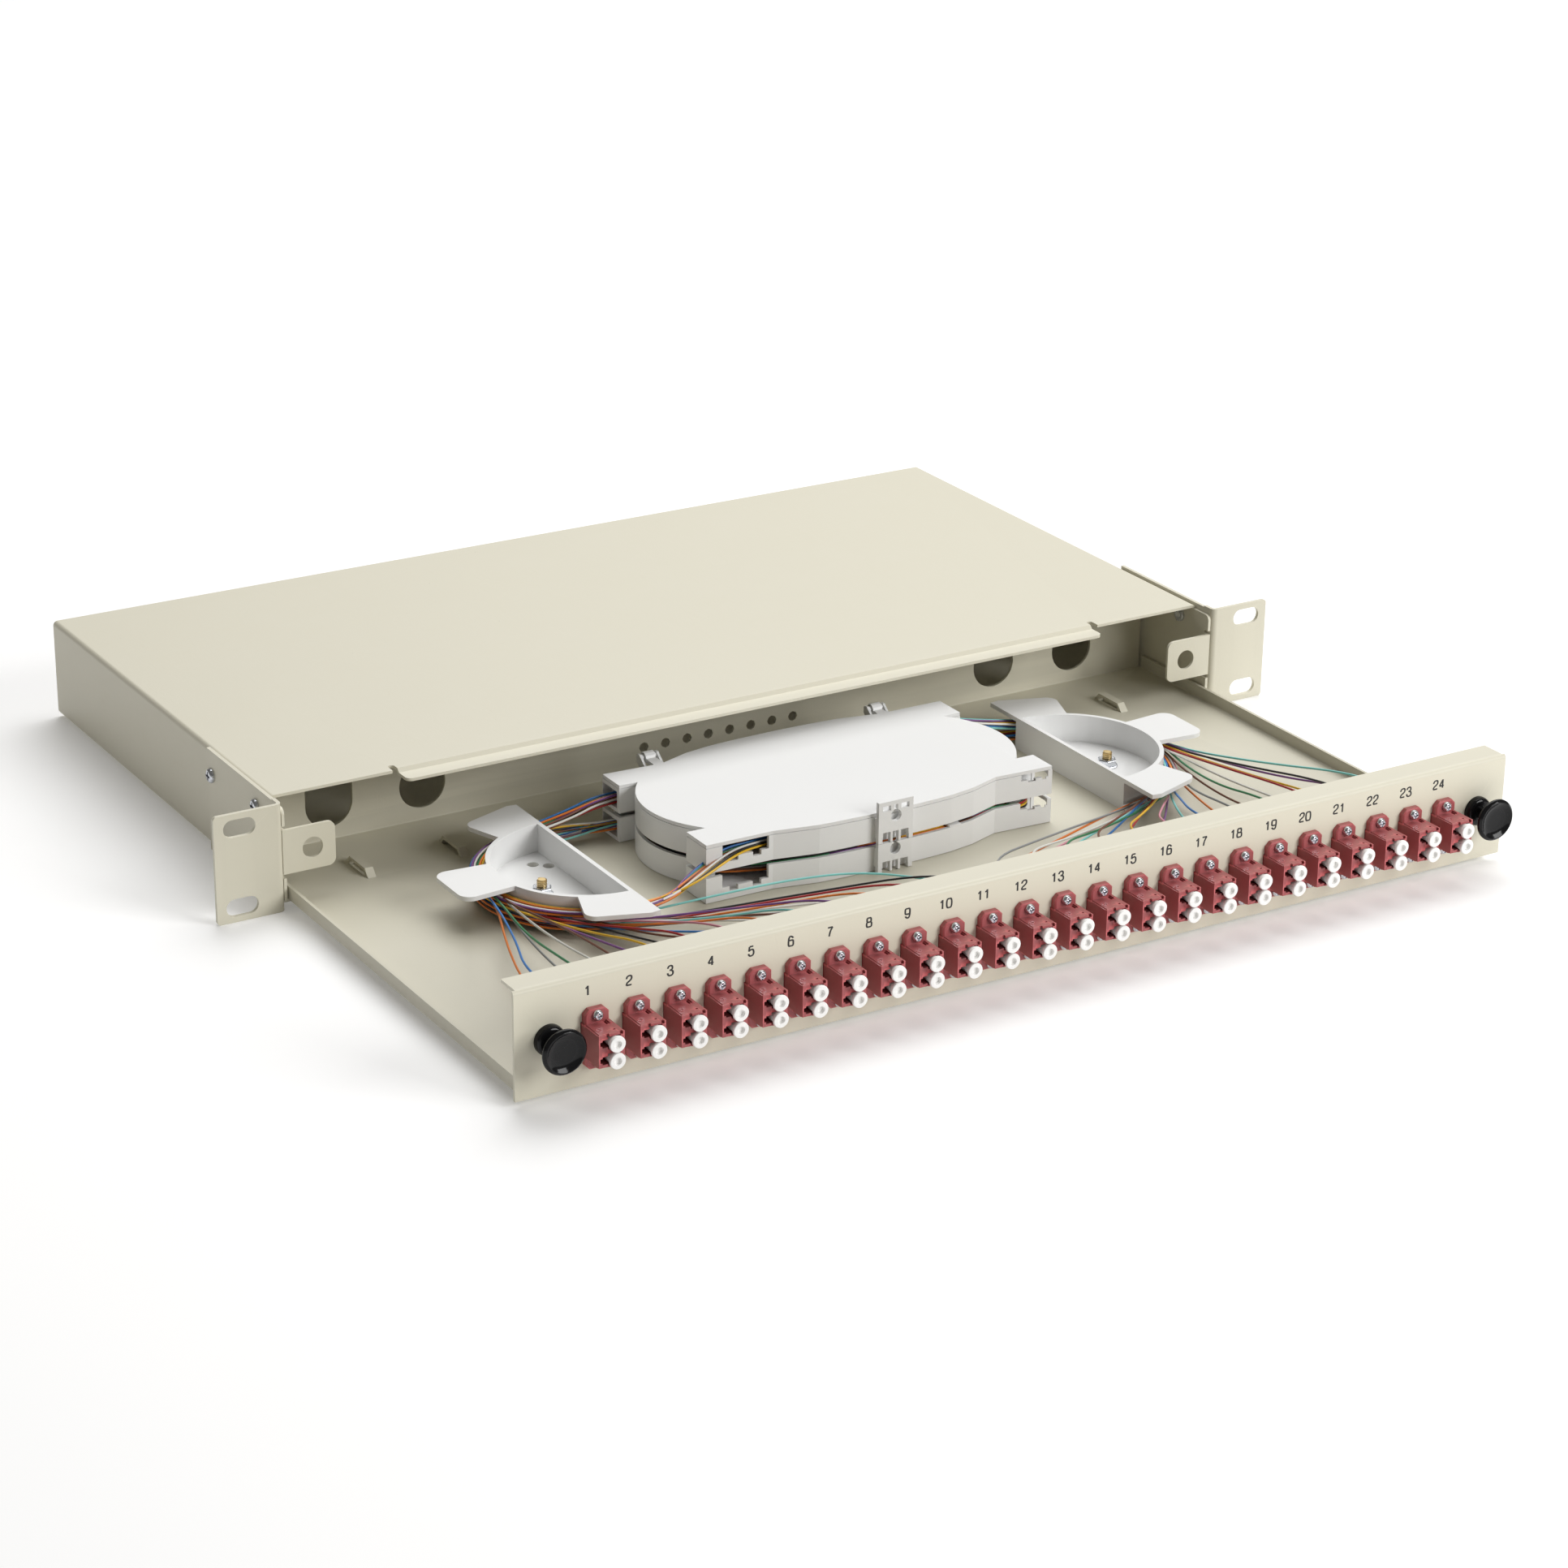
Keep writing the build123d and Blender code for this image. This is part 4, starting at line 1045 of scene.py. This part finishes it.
class SPLICE_OT_adapters(bpy.types.Operator):
    """Finish, moulding marks and latch windows of the adapters"""

    bl_idname = "splice_box.adapters"
    bl_label = "Adapters"

    def execute(self, context):
        form = bmesh.new()
        front, back = adapter_front_y, adapter_rear_y
        bottom, top = -7.5, 4.5
        side = 4.95
        flange_front = panel_front_y - ADAPTER_FLANGE
        solids = [
            ((-side, front, bottom), (side, back, top)),
            # rail beside the latch window, and feet under the front
            ((3.3, flange_front - 2.6, top), (4.1, flange_front, top + 0.45)),
            ((-2.1, front + 0.3, bottom - 0.4), (0.4, front + 3.4, bottom)),
            ((-side, front + 1.2, bottom - 0.3), (-3.9, front + 7.0, bottom)),
        ]
        hollows = [
            # latch windows in the top
            ((2.0, flange_front - 2.7, top - 0.7), (2.8, flange_front - 0.2, top + 1)),
            ((2.0, front + 2.5, top - 0.7), (2.9, front + 3.3, top + 1)),
            # notches in the top and bottom edges of the face
            ((-2.1, front - 1, top - 1.1), (-0.9, front + 0.9, top + 1)),
            ((3.1, front - 1, top - 1.0), (4.35, front + 1.1, top + 1)),
            ((-2.1, front - 1, bottom - 1), (-0.9, front + 0.6, bottom + 0.35)),
            # recessed strip along the left edge of the top
            ((-side - 1, front + 0.8, top - 0.25), (-side + 0.7, flange_front, top + 1)),
        ]
        # each port, stepped towards its left for the catch of a plug
        for z in PORT_HEIGHTS:
            for low_x, high_x, half, deep in (
                (-1.5, 3.5, 2.35, 8.0),
                (-3.6, -1.5, 1.45, 7.0),
                (-4.45, -3.6, 0.8, 6.0),
            ):
                hollows.append(((low_x, front - 1, z - half), (high_x, front + deep, z + half)))
        carved(form, solids, hollows)
        ring = rounded(
            ((1.0, 0.0), (1.0, 0.14, 0.08), (0.72, 0.14, 0.08), (0.68, -0.05), (0, -0.05))
        )
        turned(form, ring, (-2.7, front + 4.4, top), UP, steps=24)
        half, low, high, chamfer = 4.65, -12.7, 9.7, 1.8
        edge = (
            (-half, low + chamfer),
            (-half, high - chamfer),
            (-half + chamfer, high),
            (half - chamfer, high),
            (half, high - chamfer),
            (half, low + chamfer),
            (half - chamfer, low),
            (-half + chamfer, low),
        )
        depths = (panel_front_y, flange_front + 0.5, flange_front)
        plate(form, edge, depths, chamfer=0.5)
        shared_mesh = None
        for number, (node, x) in enumerate(zip(adapter_nodes, adapter_middles), start=1):
            name = f"duplex_adapter_{number:02d}"
            if shared_mesh is None:
                piece = add_piece(name, form, adapter_plastic(), "drawer", [node])
                shared_mesh = piece.data
            else:
                piece = give(put_in_scene(name, shared_mesh), "drawer", [node])
            piece.location.x = x * MM
            round_edges(piece, edge=0.00013)
        return {"FINISHED"}


class SPLICE_OT_adapter_screws(bpy.types.Operator):
    """Cross-recessed screws at both ends of every adapter flange"""

    bl_idname = "splice_box.adapter_screws"
    bl_label = "Adapter screws"

    def execute(self, context):
        form = bmesh.new()
        for x in adapter_middles:
            for z in FLANGE_SCREW_HEIGHTS:
                seat = (x, panel_front_y - ADAPTER_FLANGE, z)
                cross_screw(form, seat, OUT_OF_PANEL, radius=1.95, height=1.5)
        add_piece("adapter_screws", form, zinc_plate(), "drawer")
        return {"FINISHED"}


class SPLICE_OT_dust_caps(bpy.types.Operator):
    """Round dust caps with a blind bore, their stems in the ports"""

    bl_idname = "splice_box.dust_caps"
    bl_label = "Dust caps"

    def execute(self, context):
        form = bmesh.new()
        bore = sizes().cap_bore / MM / 2
        profile = rounded(
            (
                (0, 5.0),
                (2.1, 5.0, 0.4),
                (2.2, 0.4),
                (2.5, -1.2, 0.2),
                (2.98, -1.5, 0.2),
                (2.98, -2.7, 0.4),
                (bore, -2.7, 0.2),
                (bore * 0.94, -1.5, 0.2),
                (0, -1.5),
            )
        )
        for x in adapter_middles:
            for z in PORT_HEIGHTS:
                turned(form, profile, (x + PORT_SIDE, adapter_front_y, z), INTO_PANEL, steps=28)
        add_piece("round_dust_caps", form, cap_plastic(), "drawer", ["dust_caps"])
        return {"FINISHED"}


class SPLICE_OT_plugs(bpy.types.Operator):
    """Pigtail plugs with ribbed boots in the back of the adapters"""

    bl_idname = "splice_box.plugs"
    bl_label = "Pigtail plugs"

    def execute(self, context):
        form = bmesh.new()
        boot = [(0, 0), (1.35, 0)]
        for i in range(6):
            along = 1.2 + 1.6 * i
            wide = 1.4 - 0.09 * i
            narrow = wide - 0.35
            boot += [(wide, along), (wide, along + 0.9), (narrow, along + 0.9), (narrow, along + 1.5)]
        boot += [(0.75, BOOT_LENGTH), (0, BOOT_LENGTH)]
        for middle in adapter_middles:
            for z in PORT_HEIGHTS:
                x, y = middle + PLUG_SIDE, adapter_rear_y
                block(form, (x - 2.3, y, z - 2.3), (x + 2.3, y + PLUG_LENGTH, z + 2.3), edge=0.4)
                block(form, (x - 1.5, y + 2, z + 2.0), (x + 1.5, y + 7.5, z + 2.9), edge=0.3)
                turned(form, boot, (x, y + PLUG_LENGTH, z), INTO_PANEL, steps=16)
        add_piece("ribbed_plugs", form, plug_plastic(), "drawer", ["pigtail_plugs"])
        return {"FINISHED"}


class SPLICE_OT_latches(bpy.types.Operator):
    """The two push latches: a split sleeve through the panel and a knob with its stem"""

    bl_idname = "splice_box.latches"
    bl_label = "Push latches"

    def execute(self, context):
        black = knob_plastic()
        dome = rounded(
            (
                (5.0, 0),
                (5.75, 0),
                (5.75, 1.9, 1.0),
                (4.9, 3.05, 1.0),
                (2.5, 3.05, 0.4),
                (2.4, 0.5),
            ),
            steps=5,
        )
        for name, side in (("left", LEFT), ("right", RIGHT)):
            dress(f"{name}_latch_grommet", black, edge=0.0003)
            low, high = place_of(f"{name}_latch_plunger")
            length = high.y - low.y
            # the thick part of the stem ends in front of the collar
            neck = panel_front_y - 6.1 - low.y
            profile = rounded(
                (
                    (0, 1.45),
                    (3.6, 1.4, 1.4),
                    (5.8, 0.93, 1.2),
                    (7.25, 0, 0.2),
                    (7.5, 0, 0.15),
                    (8.4, 0.8, 0.4),
                    (8.4, 2.0, 0.7),
                    (5.6, 2.9, 1.0),
                    (4.4, 4.4, 0.8),
                    (4.4, neck - 0.9, 0.3),
                    (3.7, neck, 0.3),
                    (2.1, neck, 0),
                    (2.1, length - 1.2, 0.4),
                    (1.5, length, 0.3),
                    (0, length),
                ),
                steps=4,
            )
            collar, knob = bmesh.new(), bmesh.new()
            seat, tip = ((side * LATCH_X, y, LATCH_Z) for y in (panel_front_y, low.y))
            turned(collar, dome, seat, OUT_OF_PANEL, steps=72)
            turned(knob, profile, tip, INTO_PANEL, steps=72)
            add_piece(f"{name}_latch_collar", collar, black, "drawer")
            plunger = [f"{name}_latch_plunger"]
            add_piece(f"{name}_latch_knob", knob, black, f"{name}_latch", plunger)
        return {"FINISHED"}


class SPLICE_OT_ear_screws(bpy.types.Operator):
    """The screws that hold the ears, and the clinch nuts inside the walls"""

    bl_idname = "splice_box.ear_screws"
    bl_label = "Ear screws"

    def execute(self, context):
        heads, nuts = bmesh.new(), bmesh.new()
        end_x = WALL_INNER_X - 1.2
        reach = EAR_FACE_X - end_x
        shank = ((0, 0), (1.5, 0), (1.5, reach), (0, reach))
        ring = rounded(((1.6, 0), (3.0, 0), (3.0, 1.2, 0.3), (1.6, 1.2, 0.2), (1.6, 0)))
        for side in (LEFT, RIGHT):
            outward = Vector((side, 0, 0))
            for y, z in EAR_SCREWS:
                cross_screw(heads, (side * EAR_FACE_X, y, z), outward, radius=2.9, height=1.7)
                turned(heads, shank, (side * end_x, y, z), outward)
                turned(nuts, ring, (side * WALL_INNER_X, y, z), -outward, steps=24)
        zinc = zinc_plate()
        add_piece("ear_cross_screws", heads, zinc, "housing", ["ear_screws"])
        add_piece("ear_nuts", nuts, zinc, "housing", ["ear_clinch_nuts"])
        return {"FINISHED"}


class SPLICE_OT_guides(bpy.types.Operator):
    """The two fibre guides, each with its threaded stud and hexagon nut"""

    bl_idname = "splice_box.guides"
    bl_label = "Fibre guides"

    def execute(self, context):
        studs, nuts = bmesh.new(), bmesh.new()
        rod_height = guide_stud_high_z - guide_nut_low_z + 2.7
        washer = ((2.1, 0), (4.3, 0), (4.4, 0.35), (3.6, 0.8), (2.1, 0.8))
        flats = ((2.1, 0.7), (4.0, 0.7), (4.04, 2.7, 0.2), (3.4, 3.2), (2.1, 3.2), (2.1, 0.7))
        for name, side in (("left", LEFT), ("right", RIGHT)):
            dress(f"{name}_fibre_guide", white_moulding(), edge=0.00055, segments=3)
            seat = Vector((side * (GUIDE_X + STUD_OUT), GUIDE_Y, guide_nut_low_z))
            foot = seat - UP * 3.0
            threaded_rod(studs, foot, radius=2.0, depth=0.32, pitch=0.7, height=rod_height)
            turned(nuts, washer, seat, UP)
            turned(nuts, rounded(flats, steps=2), seat, UP, steps=6)
        brass, zinc = yellow_passivation(), zinc_plate()
        add_piece("threaded_studs", studs, brass, "drawer", ["guide_studs"])
        add_piece("flange_nuts", nuts, zinc, "drawer", ["guide_nuts"])
        return {"FINISHED"}


class SPLICE_OT_cassettes(bpy.types.Operator):
    """The stacked splice cassettes and their lid"""

    bl_idname = "splice_box.cassettes"
    bl_label = "Splice cassettes"

    def execute(self, context):
        white = white_moulding()
        for node, seam in (("lower_cassette", 0.0), ("upper_cassette", 0.0), ("cassette_lid", 0.00022)):
            dress(node, white, sizes().moulded_edge, seam=seam)
        tab = bmesh.new()
        block(tab, (27.5, -84.6, -7.8), (33.0, -80.6, -7.0), edge=0.2)
        add_piece("cassette_wall_tab", tab, white, "drawer")
        return {"FINISHED"}


class SPLICE_OT_splices(bpy.types.Operator):
    """Splice protectors in their combs, and the spare fibre wound inside each cassette"""

    bl_idname = "splice_box.splices"
    bl_label = "Splices and spare fibre"

    def execute(self, context):
        chance = Random(11)
        length = 2 * SLEEVE_REACH
        sleeve = rounded(((0, 0), (1.15, 0, 0.4), (1.15, length, 0.4), (0, length)))
        for body, level in (("drawer", "lower"), ("upper_cassette", "upper")):
            floor = CASSETTE_FLOORS[body]
            form = bmesh.new()
            leads = []
            for layer in range(2):
                for i in range(SLEEVES_IN_ROW):
                    start = splice_place(-SLEEVE_REACH, i, layer, floor)
                    turned(form, sleeve, start, Vector((1, 0, 0)), steps=14)
                    colour = COIL_ORDER[i + SLEEVES_IN_ROW * layer]
                    for side in (LEFT, RIGHT):
                        leads.append((colour, splice_lead(side, i, layer, floor, chance)))
            name, node = f"{level}_shrink_sleeves", f"{level}_splice_protectors"
            add_piece(name, form, sleeve_plastic(), body, [node])
            fibres(f"{level}_splice_leads", leads, body)
            turns = []
            for i in range(24):
                inset = 0.2 + FIBRE_PITCH * (i % 4) + chance.uniform(-0.3, 0.3)
                z = floor + 7.9 - 1.0 * (i // 4) + chance.uniform(-0.2, 0.2)
                turns.append((COIL_ORDER[(i * 5) % len(COIL_ORDER)], coil_turn(inset, z, chance)))
            fibres(f"{level}_spare_fibre", turns, body)
        return {"FINISHED"}


class SPLICE_OT_fibres(bpy.types.Operator):
    """The pigtail fibres from the cassettes round the guides to their plugs"""

    bl_idname = "splice_box.fibres"
    bl_label = "Pigtail fibres"

    def execute(self, context):
        chance = Random(5)
        for name, side, order in (("left", LEFT, LEFT_ORDER), ("right", RIGHT, RIGHT_ORDER)):
            routes = [(colour, pigtail(side, i, chance)) for i, colour in enumerate(order)]
            upper, lower = routes[: 2 * LANES], routes[2 * LANES :]
            fibres(f"{name}_lower_pigtails", lower, stands_for=[f"fibre_bundle_{name}"])
            fibres(f"{name}_upper_pigtails", upper, hinge_lead=UPPER_LEADS[name])
        loops = [(colour, loop_fibre(i, chance)) for i, colour in enumerate(LOOP_ORDER)]
        fibres("front_loop_fibres", loops, hinge_lead=UPPER_LEADS["front"])
        gap = [(colour, gap_fibre(row, start, end)) for colour, row, start, end in GAP_FIBRES]
        gap += [(colour, port_fan_fibre(i, chance)) for i, colour in enumerate(PORT_FAN_ORDER)]
        fibres("cassette_gap_fibres", gap)
        tube = bmesh.new()
        wall = rounded(
            ((0, 1.0), (1.1, 1.0), (1.1, 0, 0.2), (1.7, 0, 0.2), (1.7, 12.0, 0.2), (0, 12.0))
        )
        mouth = (108.5, -86.6, floor_z + 1.75)
        turned(tube, wall, mouth, Vector((1, 0.1, 0)), steps=20)
        add_piece("fibre_entry_tube", tube, cap_plastic(), "drawer")
        return {"FINISHED"}


class SPLICE_OT_stage(bpy.types.Operator):
    """The pale floor, the soft studio lights and the camera"""

    bl_idname = "splice_box.stage"
    bl_label = "Stage"

    def execute(self, context):
        scene = context.scene
        ground = bmesh.new()
        bmesh.ops.create_grid(ground, x_segments=1, y_segments=1, size=FLOOR_REACH)
        mesh = bpy.data.meshes.new("studio_floor")
        ground.to_mesh(mesh)
        ground.free()
        mesh.materials.append(floor_paper())
        floor = put_in_scene("studio_floor", mesh)
        floor.location.z = model_box[0].z
        world = bpy.data.worlds.new("studio")
        world.use_nodes = True
        background = world.node_tree.nodes["Background"]
        background.inputs["Color"].default_value = (1, 0.965, 0.9, 1)
        background.inputs["Strength"].default_value = 0.16
        scene.world = world
        for name, place, aim, size, power in LIGHTS:
            light = bpy.data.lights.new(name, "AREA")
            light.shape = "SQUARE"
            light.size = size
            light.energy = power
            lamp = put_in_scene(name, light)
            lamp.location = place
            lamp.rotation_euler = (Vector(aim) - Vector(place)).to_track_quat("-Z", "Y").to_euler()
        camera = bpy.data.cameras.new("camera")
        camera.sensor_width = 36.0
        camera.lens = 92.08
        camera.clip_start = 0.05
        camera.clip_end = 50.0
        view = put_in_scene("camera", camera)
        turn = Matrix((CAMERA_RIGHT, CAMERA_BACK.cross(CAMERA_RIGHT), CAMERA_BACK)).transposed()
        view.matrix_world = Matrix.Translation(CAMERA_PLACE) @ turn.to_4x4()
        scene.camera = view
        scene.view_settings.view_transform = "Standard"
        return {"FINISHED"}


OPERATORS = (
    SPLICE_OT_sheet_metal,
    SPLICE_OT_numbers,
    SPLICE_OT_adapters,
    SPLICE_OT_adapter_screws,
    SPLICE_OT_dust_caps,
    SPLICE_OT_plugs,
    SPLICE_OT_latches,
    SPLICE_OT_ear_screws,
    SPLICE_OT_guides,
    SPLICE_OT_cassettes,
    SPLICE_OT_splices,
    SPLICE_OT_fibres,
    SPLICE_OT_stage,
)


class SPLICE_PT_pieces(bpy.types.Panel):
    """Lists the pieces of the splice box and its sizes and colours"""

    bl_idname = "SPLICE_PT_pieces"
    bl_label = "Splice box"
    bl_space_type = "VIEW_3D"
    bl_region_type = "UI"
    bl_category = "Splice box"

    def draw(self, context):
        column = self.layout.column()
        for group in (context.scene.splice_box_sizes, context.scene.splice_box_finishes):
            for name in group.bl_rna.properties.keys():
                if name not in ("name", "rna_type"):
                    column.prop(group, name)
        for operator in OPERATORS:
            column.operator(operator.bl_idname)


CLASSES = (SpliceBoxSizes, SpliceBoxFinishes, *OPERATORS, SPLICE_PT_pieces)


def register():
    for entry in CLASSES:
        bpy.utils.register_class(entry)
    bpy.types.Scene.splice_box_sizes = PointerProperty(type=SpliceBoxSizes)
    bpy.types.Scene.splice_box_finishes = PointerProperty(type=SpliceBoxFinishes)


def unregister():
    del bpy.types.Scene.splice_box_finishes
    del bpy.types.Scene.splice_box_sizes
    for entry in reversed(CLASSES):
        bpy.utils.unregister_class(entry)


def main():
    register()
    for operator in OPERATORS:
        group, name = operator.bl_idname.split(".")
        getattr(getattr(bpy.ops, group), name)()


if __name__ == "__main__":
    main()
